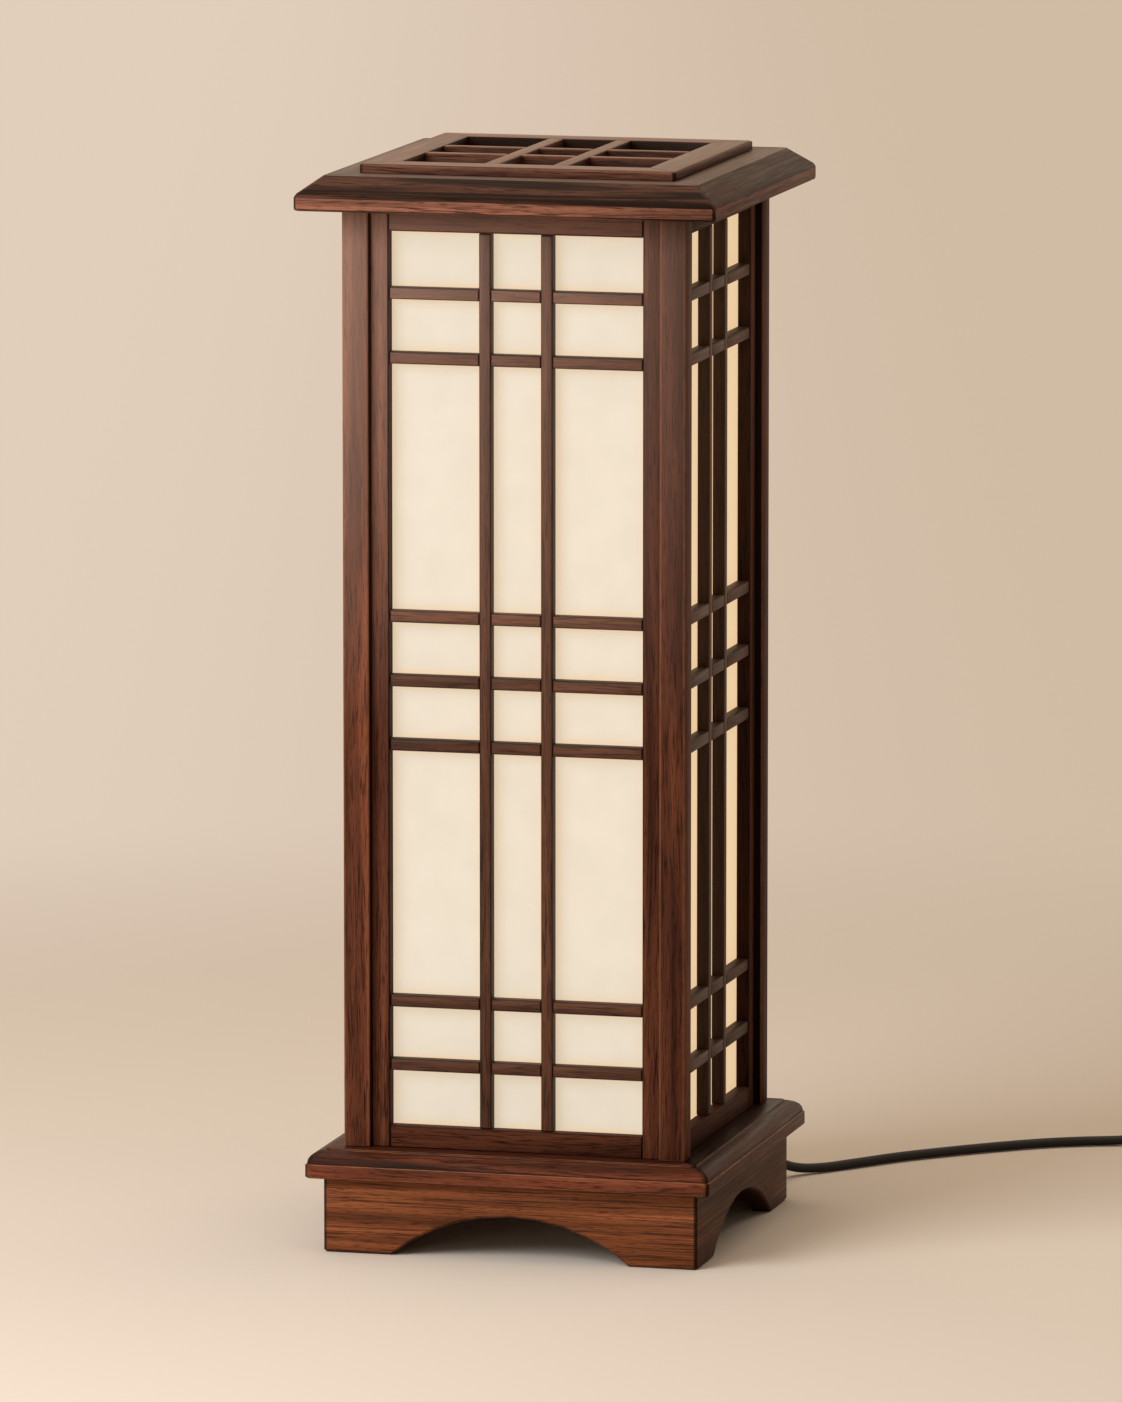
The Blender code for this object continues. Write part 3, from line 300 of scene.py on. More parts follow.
vinyl = makePlain(                              # extruded, soft sheen
    "black vinyl sheath", colours=("#070606", "#0c0b0a"), cloud=25, grit=0.8, bump=0.15,
    roughness=(0.50, 0.62), shine=0.3)
mouldedBlack = makePlain(                       # spark-eroded mould, even fine grit
    "moulded black ABS", colours=("#171615", "#1f1d1b"), cloud=12, grit=0.5, bump=0.3,
    roughness=(0.45, 0.58))
nylonTape = makePlain(                          # woven, dull
    "black nylon tape", colours=("#121110", "#1b1a18"), cloud=4, grit=0.6, bump=0.5, roughness=(0.75, 0.85))
phenolic = makePlain(                           # pressed, glossier
    "black phenolic", colours=("#1a1614", "#241f1b"), cloud=9, grit=1.0, bump=0.08, roughness=(0.22, 0.32))
brass = makePlain(
    "turned brass", colours=("#b8924e", "#d2b06c"), cloud=6, grit=0.6, bump=0.1, roughness=(0.25, 0.38),
    metallic=1)
aluminium = makePlain(
    "rolled aluminium", colours=("#b9b8b4", "#cfcdc8"), cloud=6, grit=0.6, bump=0.1, roughness=(0.28, 0.4),
    metallic=1)
opal = makePlain(                               # frosted inside, smooth outside
    "opal glass", colours=("#ece6da", "#f3eee4"), cloud=30, grit=5, bump=0.02, roughness=(0.12, 0.18))

# Washi: clouded pulp with long faint fibres, warmer beside the bars as a glue line with painted shade; its
# glow is painted light, as the bulb gives none
washi = {
    "pulp": ("#8b8f98", "#9397a0"), "pulpEdges": (0.35, 0.62),      # cool, as the warm glow adds to it
    "fibre": "#a5a9af", "fibreEdges": (0.80, 0.98), "fibreShare": 0.5, "glued": "#a8803c",
    "cloud": 22, "fibreSpacing": 13,            # mm
    "relief": 0.3, "reliefDepth": 0.0002, "roughness": 0.85, "shine": 0.2,
    "through": "#f8e8cc", "throughShare": 0.35,
    "glow": "#fff6e1", "glowStrength": 0.62,    # the photograph's paper looks faintly lit from inside
}
shadedWashi = dict(washi, glow="#ffe3b9", glowStrength=0.76)    # painted light: a brighter, warmer glow on the sides turned from the key


def makeWashi(name, look):
    material, tree, shader = newMaterial(name)
    place = objectPlace(tree)
    cloud = clouded(tree, place, look["cloud"], Detail=5)
    stops = list(zip(look["pulpEdges"], look["pulp"]))
    pulp = addNode(tree, "ShaderNodeValToRGB", {0: cloud}, stops=stops).outputs[0]
    spacing = perMm(look["fibreSpacing"])[0]
    strands = addNode(tree, "ShaderNodeTexNoise",
                      {"Vector": place, "Scale": spacing, "Detail": 1, "Distortion": 0.8},
                      noise_type="RIDGED_MULTIFRACTAL").outputs[0]
    fibre = ranged(tree, strands, *look["fibreEdges"], end=look["fibreShare"])
    fibred = mixed(tree, fibre, pulp, linear(look["fibre"]))
    fill(tree, shader, {
        "Base Color": mixed(tree, attribute(tree, "glued"), fibred, linear(look["glued"])),
        "Normal": bumped(tree, fibre, look["relief"], look["reliefDepth"]),
        "Roughness": look["roughness"], "Specular IOR Level": look["shine"],
        "Emission Color": linear(look["glow"]), "Emission Strength": look["glowStrength"],
    })
    through = addNode(tree, "ShaderNodeBsdfTranslucent", {"Color": linear(look["through"])}).outputs[0]
    both = addNode(tree, "ShaderNodeMixShader", {0: look["throughShare"], 1: shader.outputs[0], 2: through})
    fill(tree, tree.nodes["Material Output"], {"Surface": both.outputs[0]})
    return material


cream = makeWashi("cream washi paper", washi)
shadedSideWashi = makeWashi("washi paper with painted glow for shaded sides", shadedWashi)
print("materials made:", len(bpy.data.materials))


# How every piece is finished: metres and degrees
finish = {
    "merge": 2e-6, "flat": 0.5, "sharp": 30, "crease": 35,
    "easeSegments": 2, "fittingEase": 0.0003,
}


def newPiece(name, bm, material, body, stoodFor=()):
    mesh = bpy.data.meshes.new(name)
    bm.to_mesh(mesh)
    bm.free()
    mesh.materials.append(material)
    mesh.shade_smooth()
    mesh.set_sharp_from_angle(angle=math.radians(finish["crease"]))
    piece = bpy.data.objects.new(name, mesh)
    scene.collection.objects.link(piece)
    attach(piece, body)
    if stoodFor:
        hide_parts(*stoodFor)
    return piece


def movedVerts(made):
    return [item for item in made["geom"] if isinstance(item, bmesh.types.BMVert)]


# Boards that are lighter or darker than the rest, by how their names start. The last that fits counts
# The right side's boards, the grille's right rail, the rear right post and the right front post and stile
# are darker as painted shade; the left front post and stile are lighter as painted light from the left
boardTonesAndShade = {
    "right_": 0.68, "grille_right_rail": 0.50,
    "front_panel_left_stile": 1.05, "front_panel_right_stile": 0.76,
    "front_left_post": 1.12, "front_right_post": 0.80, "front_upright_1": 0.72, "front_upright_2": 0.70,
    "front_crossbar_7": 1.12, "front_crossbar_6": 0.70, "front_crossbar_5": 1.08, "front_crossbar_4": 0.75,
    "front_crossbar_3": 0.66, "front_crossbar_2": 0.90, "front_crossbar_1": 0.70,
    "right_apron": 0.40, "right_plinth": 0.52, "right_cap": 0.85, "rear_right_post": 0.60,
}
figuresAndShade = {"right_": 0.35, "right_cap": 0.4}    # boards with a plainer figure, shares that multiply; on the right side the plainer figure is painted shade

# How boards were sawn and toned, and how dark the arrises get: dark joints at the mitres, painted shade
# elsewhere
sawn = {
    "along": 5, "aside": 0.06, "deep": (0.03, 0.09),    # metres from the heart of the log
    "ownTone": (0.88, 1.12), "cornerTone": 0.4, "shownFigure": 0.8,
    "arris": 0.0009, "mitre": 0.0025,                   # metres wide at most, metres off the diagonal
    "upright": 0.15, "level": 0.95, "reach": 0.4,       # limits for a face's normal
}


def stainAndShade(shown, other, top=0, figure=1):
    # How light the shown faces are, and the others, darker as painted shade on faces turned from the light;
    # how much painted sheen the top gets, or how far it is darkened if below nought; and how strong the
    # figure is on the others
    return {"shown": shown, "other": other, "top": top, "figure": figure}


def addGrain(bm, name, order, tone, wornAndLit, out=None, reach=sawn["reach"]):
    # Grain coordinates run along the timber first, from the heart of the log that the piece was sawn from.
    # Faces turned towards out or up are shown, or upright ones where there is no out; the others are darker
    # as painted shade.
    # Narrow arrises are darker too, as dark joints at the mitres and as painted shade elsewhere; shown
    # arrises left light are lighter, as wear with a painted highlight, and tops get a painted sheen.
    log = random.Random(name)
    middle = [(min(v.co[k] for v in bm.verts) + max(v.co[k] for v in bm.verts)) / 2 for k in order]
    heart = (log.uniform(0, sawn["along"]), log.uniform(-sawn["aside"], sawn["aside"]),
             log.choice((-1, 1)) * log.uniform(*sawn["deep"]))
    shift = Vector(heart) - Vector(middle)
    own, figured = log.uniform(*sawn["ownTone"]), tone["figure"]
    for start, share in boardTonesAndShade.items():
        own = share if name.startswith(start) else own
    for start, share in figuresAndShade.items():
        figured *= share if name.startswith(start) else 1
    mitred = name.endswith(("moulding", "member", "rail"))
    wornAndLitArrises = name.endswith(("post", "moulding", "member")) or name.startswith("grille")

    grain = bm.verts.layers.float_vector.new("grain")
    toneLayer = bm.faces.layers.float.new("tone")
    wear_and_highlight = bm.faces.layers.float.new("wear_and_highlight")
    sheenLayer = bm.faces.layers.float.new("painted_sheen")
    contrast = bm.faces.layers.float.new("contrast")
    for vert in bm.verts:
        vert[grain] = Vector([vert.co[k] for k in order]) + shift
    for face in bm.faces:
        narrow = 2 * face.calc_area() < sawn["arris"] * face.calc_perimeter()
        upright, onTop = abs(face.normal.z) < sawn["upright"], face.normal.z > sawn["level"]
        shown = (face.normal.dot(out) > reach or onTop) if out else upright
        centre = face.calc_center_median()
        mitre = narrow and mitred and abs(abs(centre.x) - abs(centre.y)) < sawn["mitre"]
        corner = mitre or (narrow and ((upright and not out) or not wornAndLitArrises))
        face[wear_and_highlight] = 1 if (narrow or face in wornAndLit) and (shown or not out) and not corner else 0
        faceStainAndShade = tone["shown"] if shown else tone["other"]
        face[toneLayer] = own * (sawn["cornerTone"] if corner else faceStainAndShade)
        if onTop:
            face[sheenLayer] = max(tone["top"], 0)
            face[toneLayer] *= 1 + min(tone["top"], 0)
        face[contrast] = sawn["shownFigure"] if shown else figured


def eased(bm, edges, width):
    made = bmesh.ops.bevel(bm, geom=edges, offset=width, affect="EDGES", segments=finish["easeSegments"],
                           profile=0.5, material=-1, clamp_overlap=True)
    bmesh.ops.dissolve_degenerate(bm, dist=finish["merge"], edges=bm.edges)     # slivers at the corners
    return {face for face in made["faces"] if face.is_valid}


def finishedCopy(node, material, slot, ease, axis=None, tone=stainAndShade(1, 1), out=None, reach=sawn["reach"]):
    # The frame's own solid, merged, with every sharp edge eased; timber has its grain along an axis
    bm = bmesh.new()
    bm.from_mesh(nodes[node].data)
    bmesh.ops.remove_doubles(bm, verts=bm.verts, dist=finish["merge"])
    bmesh.ops.dissolve_limit(bm, angle_limit=math.radians(finish["flat"]), verts=bm.verts, edges=bm.edges)
    limit = math.radians(finish["sharp"])
    sharp = [edge for edge in bm.edges if edge.is_manifold and edge.calc_face_angle() > limit]
    wornAndLit = eased(bm, sharp, ease)
    if axis is not None:
        addGrain(bm, node, (axis, (axis + 1) % 3, (axis + 2) % 3), tone, wornAndLit, out, reach)
    return newPiece(node + "_finished", bm, material, nodes[node]["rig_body"], [node])


# Timber of the case: how far its edges are eased, and the tone of each kind, with painted shade on faces
# not shown and painted sheen on the tops of the cap and grille
timber = {
    "ease": 0.0004, "postEase": 0.0006, "postReach": -0.25,     # how far round its corners a post counts as shown, with lighter arrises; beyond it, painted shade
    "apron": stainAndShade(1.5, 1),
    "plinth_moulding": stainAndShade(1.38, 0.74, top=-0.5, figure=2),
    "cap_member": stainAndShade(1.85, 0.36, top=0.28, figure=3),
    "grille_rail": stainAndShade(1.2, 0.45, top=0.40),
    "top_rail": stainAndShade(1.05, 0.5), "bottom_rail": stainAndShade(0.75, 0.6),
    "stile": stainAndShade(1.2, 0.32), "post": stainAndShade(1.2, 0.22),
}
caseWoods = {"apron": warmRosewood, "plinth_moulding": polishedRosewood, "cap_member": figuredRosewood}


def dressTimber():
    def dress(node, wood, axis, kind, *shown, ease=timber["ease"]):
        finishedCopy(node, wood, "rosewood", ease, axis, timber[kind], *shown)

    for side, turn in sideTurns.items():
        level = 0 if turn % 180 == 0 else 1     # which way the level timbers of this side run
        out = Matrix.Rotation(math.radians(turn), 3, "Z") @ Vector((0, -1, 0))
        for kind, wood in caseWoods.items():
            dress(f"{side}_{kind}", wood, level, kind)
        dress(f"grille_{side}_rail", figuredRosewood, level, "grille_rail", out)
        for kind in ("top_rail", "bottom_rail"):
            dress(f"{side}_panel_{kind}", satinRosewood, level, kind, out)
        for hand in ("left", "right"):
            dress(f"{side}_panel_{hand}_stile", satinRosewood, 2, "stile", out)
    for y, depth in ((-1, "front"), (1, "rear")):
        for x, hand in ((-1, "left"), (1, "right")):
            out = Vector((x, y, 0)).normalized()
            dress(f"{depth}_{hand}_post", satinRosewood, 2, "post", out, timber["postReach"],
                  ease=timber["postEase"])
    finishedCopy("base_board", plainBoard, "base_board", timber["ease"], 0)


dressTimber()
print("timber dressed")


# Half-lapped strips: uprights run through in front, crossbars behind
# The strips' sides are darker as painted shade, and the grille's tops get a painted sheen
lattice = {
    "barWidth": 0.0071, "uprightPitch": 0.0374,
    "smallCell": 0.0311, "endCell": 0.0330,
    "ease": 0.0007, "lapGap": 0.00005, "tone": stainAndShade(0.95, 0.38),
    "wood": rosewoodStrip, "slot": "lattice",
}
grille = {
    "barWidth": 0.0092, "slatWidth": 0.0056, "barPitch": 0.0415,
    "ease": 0.0005, "tone": stainAndShade(1.1, 0.45, top=0.40),
    "wood": figuredRosewood, "slot": "rosewood",
}


def lappedStrip(name, span, width, depth, laps, lapWidth, lapInFace, place, look, stoodFor):
    # Drawn on its side, face up at z = 0 and running along x, then spread to its width
    start, end = span
    half = lapWidth / 2 + lattice["lapGap"]
    notches = [(at + step * half, deep) for at in laps for step, deep in ((-1, 0), (-1, 1), (1, 1), (1, 0))]
    faceCuts = notches if lapInFace else []
    backCuts = [] if lapInFace else notches
    outline = [(start, 0)] + [(x, -deep * depth / 2) for x, deep in faceCuts] + [(end, 0)]
    outline += [(end, -depth)] + [(x, -depth + deep * depth / 2) for x, deep in reversed(backCuts)]
    outline += [(start, -depth)]
    bm = bmesh.new()
    face = bm.faces.new([bm.verts.new((x, -width / 2, z)) for x, z in outline])
    spread = bmesh.ops.extrude_face_region(bm, geom=[face])
    bmesh.ops.translate(bm, verts=movedVerts(spread), vec=(0, width, 0))
    bmesh.ops.recalc_face_normals(bm, faces=bm.faces)
    inFace = -depth / 4                         # above the floors of the laps
    arrises = [edge for edge in bm.edges if min(v.co.z for v in edge.verts) > inFace]
    wornAndLit = eased(bm, arrises, look["ease"])
    addGrain(bm, name, (0, 1, 2), look["tone"], wornAndLit, Vector((0, 0, 1)))
    bm.transform(place)
    return newPiece(name, bm, look["wood"], nodes[stoodFor]["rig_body"], [stoodFor])


def axes(along, across, out, at):
    return Matrix.Translation(at) @ Matrix((along, across, out)).transposed().to_4x4()


def latticeLines():
    # Middles of the uprights and crossbars, and the levels where the panes begin and end
    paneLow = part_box("front_panel_bottom_rail")[1].z
    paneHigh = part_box("front_panel_top_rail")[0].z
    small = lattice["smallCell"] + lattice["barWidth"]
    end = lattice["endCell"] + lattice["barWidth"] / 2
    middle = (paneLow + paneHigh) / 2
    rises = [paneLow + end, paneLow + end + small, middle - small, middle, middle + small,
             paneHigh - end - small, paneHigh - end]
    return [-lattice["uprightPitch"] / 2, lattice["uprightPitch"] / 2], rises, (paneLow, paneHigh)


uprightLines, crossLines, paneLevels = latticeLines()


def addLattice(side, turn):
    low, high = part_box("front_panel_lattice")
    width, depth = lattice["barWidth"], high.y - low.y
    spin = Matrix.Rotation(math.radians(turn), 4, "Z")
    node = f"{side}_panel_lattice"
    for k, x in enumerate(uprightLines):
        place = spin @ axes((0, 0, 1), (-1, 0, 0), (0, -1, 0), (x, low.y, 0))
        lappedStrip(f"{side}_upright_{k + 1}", (low.z, high.z), width, depth, crossLines, width, False,
                    place, lattice, node)
    for k, z in enumerate(crossLines):
        place = spin @ axes((1, 0, 0), (0, 0, 1), (0, -1, 0), (0, low.y, z))
        lappedStrip(f"{side}_crossbar_{k + 1}", (low.x, high.x), width, depth, uprightLines, width, True,
                    place, lattice, node)


def addGrilleBars():
    low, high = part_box("grille_bars")
    depth = high.z - low.z
    lines = [-grille["barPitch"] / 2, grille["barPitch"] / 2]
    bar, slat = grille["barWidth"], grille["slatWidth"]
    for k, at in enumerate(lines):
        through = axes((0, 1, 0), (-1, 0, 0), (0, 0, 1), (at, 0, high.z))
        lappedStrip(f"grille_bar_{k + 1}", (low.y, high.y), bar, depth, lines, slat, False, through,
                    grille, "grille_bars")
        level = axes((1, 0, 0), (0, 1, 0), (0, 0, 1), (0, at, high.z))
        lappedStrip(f"grille_slat_{k + 1}", (low.x, high.x), slat, depth, lines, bar, True, level,
                    grille, "grille_bars")


for side, turn in sideTurns.items():
    addLattice(side, turn)
addGrilleBars()
print("lattice and grille bars lapped")


# Paper: one stretched sheet behind each lattice, a little cockled
paper = {
    "step": 0.0025, "thickness": 0.0004, "cockle": 0.00006, "cockleSize": 0.035, "gluedReach": 0.0020,
    "shaded": ("right", "rear"),
}


def addPaper(side, turn):
    low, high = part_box("front_panel_paper")
    width, height = high.x - low.x, high.z - low.z
    bm = bmesh.new()
    bmesh.ops.create_grid(bm, x_segments=round(width / paper["step"]),
                          y_segments=round(height / paper["step"]), size=0.5)
    bmesh.ops.scale(bm, vec=(width, height, 1), verts=bm.verts)
    middle = ((low.x + high.x) / 2, (low.y + high.y) / 2 - paper["thickness"] / 2, (low.z + high.z) / 2)
    bm.transform(Matrix.Translation(middle) @ Matrix.Rotation(math.pi / 2, 4, "X"))
    glued = bm.verts.layers.float.new("glued")
    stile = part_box("front_panel_left_stile")[1].x
    half = lattice["barWidth"] / 2
    acrossEdges = [stile, -stile] + [x + s * half for x in uprightLines for s in (-1, 1)]
    upEdges = list(paneLevels) + [z + s * half for z in crossLines for s in (-1, 1)]
    seed = Vector((0, 0, turn))
    # Beside the bars the paper is marked warmer and darker: a glue line, with painted shade and reflected
    # wood colour
    for vert in bm.verts:
        near = min(abs(vert.co.x - x) for x in acrossEdges)
        near = min(near, min(abs(vert.co.z - z) for z in upEdges))
        vert[glued] = math.exp(-near / paper["gluedReach"])
        vert.co.y += paper["cockle"] * noise.noise(vert.co / paper["cockleSize"] + seed)
    thick = bmesh.ops.extrude_face_region(bm, geom=bm.faces[:], use_keep_orig=True)
    bmesh.ops.translate(bm, verts=movedVerts(thick), vec=(0, paper["thickness"], 0))
    bmesh.ops.recalc_face_normals(bm, faces=bm.faces)
    bm.transform(Matrix.Rotation(math.radians(turn), 4, "Z"))
    node = f"{side}_panel_paper"
    sheet = shadedSideWashi if side in paper["shaded"] else cream
    piece = newPiece(f"{side}_washi", bm, sheet, "lamp", [node])


for side, turn in sideTurns.items():
    addPaper(side, turn)
print("paper stretched")


def spun(profile, steps=64, merge=1e-6):
    bm = bmesh.new()
    verts = [bm.verts.new((radius, 0, height)) for radius, height in profile]
    edges = [bm.edges.new(pair) for pair in zip(verts, verts[1:])]
    bmesh.ops.spin(bm, geom=verts + edges, cent=(0, 0, 0), axis=(0, 0, 1), angle=math.tau, steps=steps,
                   use_merge=True)
    bmesh.ops.remove_doubles(bm, verts=bm.verts, dist=merge)
    bmesh.ops.recalc_face_normals(bm, faces=bm.faces)
    return bm


def smoothStep(t):
    return t * t * (3 - 2 * t)                  # from nought to one, level at both ends


# Bulb: a smooth opal globe on a rolled screw cap, with a black insulator and a centre contact under it
bulb = {
    "neckRadius": 0.0126, "join": -35, "neckSteps": 16, "globeSteps": 28,       # degrees from the equator
    "thread": 0.0036, "threadDepth": 0.0010, "threads": 5, "stepsPerThread": 10,
    "tip": 0.0050, "tipRadius": 0.0048, "contact": 0.0008, "contactTaper": (0.7, 0.9),
}


def threaded(radius, depth, start, turns):
    # Rounded grooves from the bottom up, starting and ending in a groove
    steps = bulb["stepsPerThread"]
    return [(radius - depth * (0.5 + 0.5 * math.cos(math.tau * k / steps)),
             start + bulb["thread"] * k / steps) for k in range(turns * steps + 1)]


def addBulb():
    low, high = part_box("bulb_glass")
    globe, join = high.x, math.radians(bulb["join"])
    centre = high.z - globe
    joinRadius, joinHeight = globe * math.cos(join), centre + globe * math.sin(join)
    glass = [(0, low.z)]
    for k in range(bulb["neckSteps"]):
        t = k / bulb["neckSteps"]
        glass.append((bulb["neckRadius"] + (joinRadius - bulb["neckRadius"]) * smoothStep(t),
                      low.z + (joinHeight - low.z) * t))
    for k in range(bulb["globeSteps"]):
        angle = join + (math.pi / 2 - join) * k / bulb["globeSteps"]
        glass.append((globe * math.cos(angle), centre + globe * math.sin(angle)))
    glass.append((0, high.z))
    newPiece("bulb_globe", spun(glass), opal, "bulb", ["bulb_glass"])

    low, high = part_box("bulb_cap")
    crest, start = high.x, low.z + bulb["tip"]
    groove = crest - bulb["threadDepth"]
    shell = [(0, start), *threaded(crest, bulb["threadDepth"], start, bulb["threads"])]
    collar = shell[-1][1] + bulb["contact"]
    shell += [(crest, collar), (crest, high.z - bulb["contact"]), (groove, high.z), (0, high.z)]
    newPiece("bulb_screw_cap", spun(shell), aluminium, "bulb", ["bulb_cap"])
    ring = low.z + bulb["contact"]
    insulator = [(0, ring), (bulb["tipRadius"], ring), (groove, start), (0, start)]
    newPiece("bulb_insulator", spun(insulator), phenolic, "bulb", ["bulb_cap"])
    tip, root = (bulb["tipRadius"] * share for share in bulb["contactTaper"])
    contact = [(0, low.z), (tip, low.z), (root, ring), (0, ring)]
    newPiece("bulb_contact", spun(contact), brass, "bulb", ["bulb_cap"])


# Lampholder: a pressed body with a domed foot and a proud rim, and a brass screw shell in its bore
holder = {
    "radius": 0.0195, "footRadius": 0.0125, "dome": 0.0160, "domeSteps": 14,
    "rim": 0.0010, "rimHeight": 0.0050, "bore": 0.0138, "boreDepth": 0.0300,
    "socket": 0.0080, "socketRadius": 0.0053, "shell": 0.0003, "shellThreads": 7,
}


def addHolder():
    low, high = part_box("lampholder")
    foot, mouth = low.z, high.z
    radius, rim = holder["radius"], holder["rim"]
    profile = [(0, foot + holder["socket"]), (holder["socketRadius"], foot + holder["socket"]),
               (holder["socketRadius"], foot)]
    for k in range(holder["domeSteps"] + 1):
        angle = math.pi / 2 * k / holder["domeSteps"]
        profile.append((holder["footRadius"] + (radius - holder["footRadius"]) * math.sin(angle),
                        foot + holder["dome"] * (1 - math.cos(angle))))
    bore, floor = holder["bore"], mouth - holder["boreDepth"]
    profile += [(radius, mouth - holder["rimHeight"]), (radius + rim, mouth - holder["rimHeight"] + rim),
                (radius + rim, mouth - rim), (radius, mouth), (bore, mouth), (bore, floor), (0, floor)]
    newPiece("lampholder_body", spun(profile), phenolic, "lamp", ["lampholder"])
    inside, outside = bore - holder["shell"], bore - holder["shell"] / 4
    wall = threaded(inside, -holder["shell"] / 2, floor, holder["shellThreads"])
    shell = wall + [(outside, wall[-1][1]), (outside, floor), wall[0]]
    newPiece("lampholder_screw_shell", spun(shell), brass, "lamp", ["lampholder"])


addBulb()
addHolder()

# Small fittings keep the frame's shape with eased edges
fittings = {
    "threaded_nipple": (brass, "brass"), "nipple_locknut": (brass, "brass"),
    "cord_grommet": (vinyl, "cord"),
    "switch_body": (mouldedBlack, "switch"), "switch_rocker": (phenolic, "rocker"),
    "plug_body": (mouldedBlack, "plug"),
    "plug_blade_left": (brass, "brass"), "plug_blade_right": (brass, "brass"),
}
fittingPieces = {}
for node, (material, slot) in fittings.items():
    fittingPieces[node] = finishedCopy(node, material, slot, finish["fittingEase"])
print("fittings finished")


# Lead: the same route points as the frame's tubes, sampled finer
leadFloor = 0.0031                              # height of its middle where it lies on the floor
lead = {
    "radius": 0.0029, "roundness": 5, "endRun": 0.006, "gap": 0.0003,
    "step": 0.004, "samples": 20,               # metres between points, samples to a stretch
    "glandX": 0.092, "glandZ": 0.020, "switchZ": 0.0072, "plugZ": 0.0082,
    "sag": 0.0146,                              # lowest point inside the base, then shares of the way
    "fall": ((0.03, 0.02, 0.44), (0.10, 0.07, 0.12), (0.21, 0.13, 0.01), (0.43, 0.28, 0.00)),
    "rise": ((0.67, 0.45, 0.30), (0.86, 0.63, 0.74), (0.97, 0.80, 1.00)),
    "toSwitch": (
        (0.0925, 0.1630, 0.0165), (0.0955, 0.1765, 0.0098), (0.1030, 0.1900, 0.0048),
        (0.1150, 0.2035, leadFloor), (0.1320, 0.2240, leadFloor), (0.1535, 0.2508, leadFloor),
        (0.1795, 0.2765, leadFloor), (0.2040, 0.2980, leadFloor), (0.2275, 0.3160, leadFloor),
        (0.2515, 0.3290, leadFloor), (0.2750, 0.3372, 0.0034), (0.2930, 0.3416, 0.0056)),
    "toCoil": (
        (0.3960, 0.3405, 0.0052), (0.4085, 0.3315, 0.0034), (0.4135, 0.3170, leadFloor),
        (0.4095, 0.3020, leadFloor), (0.3975, 0.2920, leadFloor), (0.3790, 0.2885, leadFloor)),
    "offCoil": ((-0.0002, -0.0120, -0.0003), (0.0008, -0.0250, -0.0030)),       # from the last turn's end
    "toPlug": ((0.3185, 0.2060, 0.0042), (0.3250, 0.1920, 0.0044), (0.3340, 0.1830, 0.0058)),
}
coil = {
    "centre": (0.3590, 0.2455), "radius": 0.0425, "pitch": 0.0064, "pointsPerTurn": 48,
    "turnsIn": 2.75, "crossing": 0.5, "turnsOut": 3.0,      # in below, up over half a turn, out above
    "tieAt": 36,                                            # points, a quarter turn before the start
    "tie": 0.00014, "tieLap": 0.0006, "tieLapFrom": 0.8,    # thickness, and how far up it overlaps
    "tieGap": 0.00003, "tieWidth": 0.0060, "tieFacets": 60,
}


def smoothRoute(points):
    # Even points on a smooth curve through the route; the two end runs stay straight
    points = [Vector(p) for p in points]
    fine = [points[1]]
    for a, b, c, d in zip(points, points[1:], points[2:], points[3:]):
        for n in range(1, lead["samples"] + 1):
            t = n / lead["samples"]
            fine.append(0.5 * (2 * b + (c - a) * t + (2 * a - 5 * b + 4 * c - d) * t ** 2
                               + (3 * b - a - 3 * c + d) * t ** 3))
    run = [0]
    for p, q in zip(fine, fine[1:]):
        run.append(run[-1] + (q - p).length)
    count = max(2, round(run[-1] / lead["step"]))
    even, at = [points[0]], 0
    for n in range(count + 1):
        want = run[-1] * n / count
        while at < len(fine) - 2 and run[at + 1] < want:
            at += 1
        even.append(fine[at].lerp(fine[at + 1], (want - run[at]) / (run[at + 1] - run[at])))
    return even + [points[-1]]


def addLead(name, points, node):
    curve = bpy.data.curves.new(name, "CURVE")
    curve.dimensions = "3D"
    curve.bevel_depth = lead["radius"]
    curve.bevel_resolution = lead["roundness"]
    curve.use_fill_caps = True
    spline = curve.splines.new("POLY")
    spline.points.add(len(points) - 1)
    for knot, point in zip(spline.points, points):
        knot.co = (*point, 1)
    spline.use_smooth = True
    curve.materials.append(vinyl)
    piece = bpy.data.objects.new(name, curve)
    scene.collection.objects.link(piece)
    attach(piece, "lamp")
    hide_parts(node)
    return piece, sum((q - p).length for p, q in zip(points, points[1:]))


def coilTurns():
    total = coil["turnsIn"] + coil["crossing"] + coil["turnsOut"]
    reversal = coil["turnsIn"] + coil["crossing"] / 2
    x, y = coil["centre"]
    points = []
    for k in range(round(total * coil["pointsPerTurn"]) + 1):
        turn = k / coil["pointsPerTurn"]
        inward = min(turn, reversal) - max(turn - reversal, 0)
        climb = min(max((turn - coil["turnsIn"]) / coil["crossing"], 0), 1)
        radius = coil["radius"] - coil["pitch"] * inward
        angle = math.pi / 2 + math.tau * turn
        height = leadFloor + coil["pitch"] * smoothStep(climb)
        points.append(Vector((x + radius * math.cos(angle), y + radius * math.sin(angle), height)))
    return points


def addInnerLead():
    # Down out of the nipple to its lowest point and up to the grommet, in shares of the way there
    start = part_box("threaded_nipple")[0].z - lead["gap"]
    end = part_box("cord_grommet")[0].y - lead["gap"]
    x, z, sag = lead["glandX"], lead["glandZ"], lead["sag"]
    route = [(0, 0, start), (0, 0, start - lead["endRun"] / 2)]
    route += [(a * x, b * end, sag + c * (start - sag)) for a, b, c in lead["fall"]]
    route += [(a * x, b * end, sag + c * (z - sag)) for a, b, c in lead["rise"]]
    route += [(x, end - lead["endRun"], z), (x, end, z)]
    piece, length = addLead("inner_lead_sheath", smoothRoute(route), "inner_lead")
    print("lead inside the base", round(length, 3), "m")


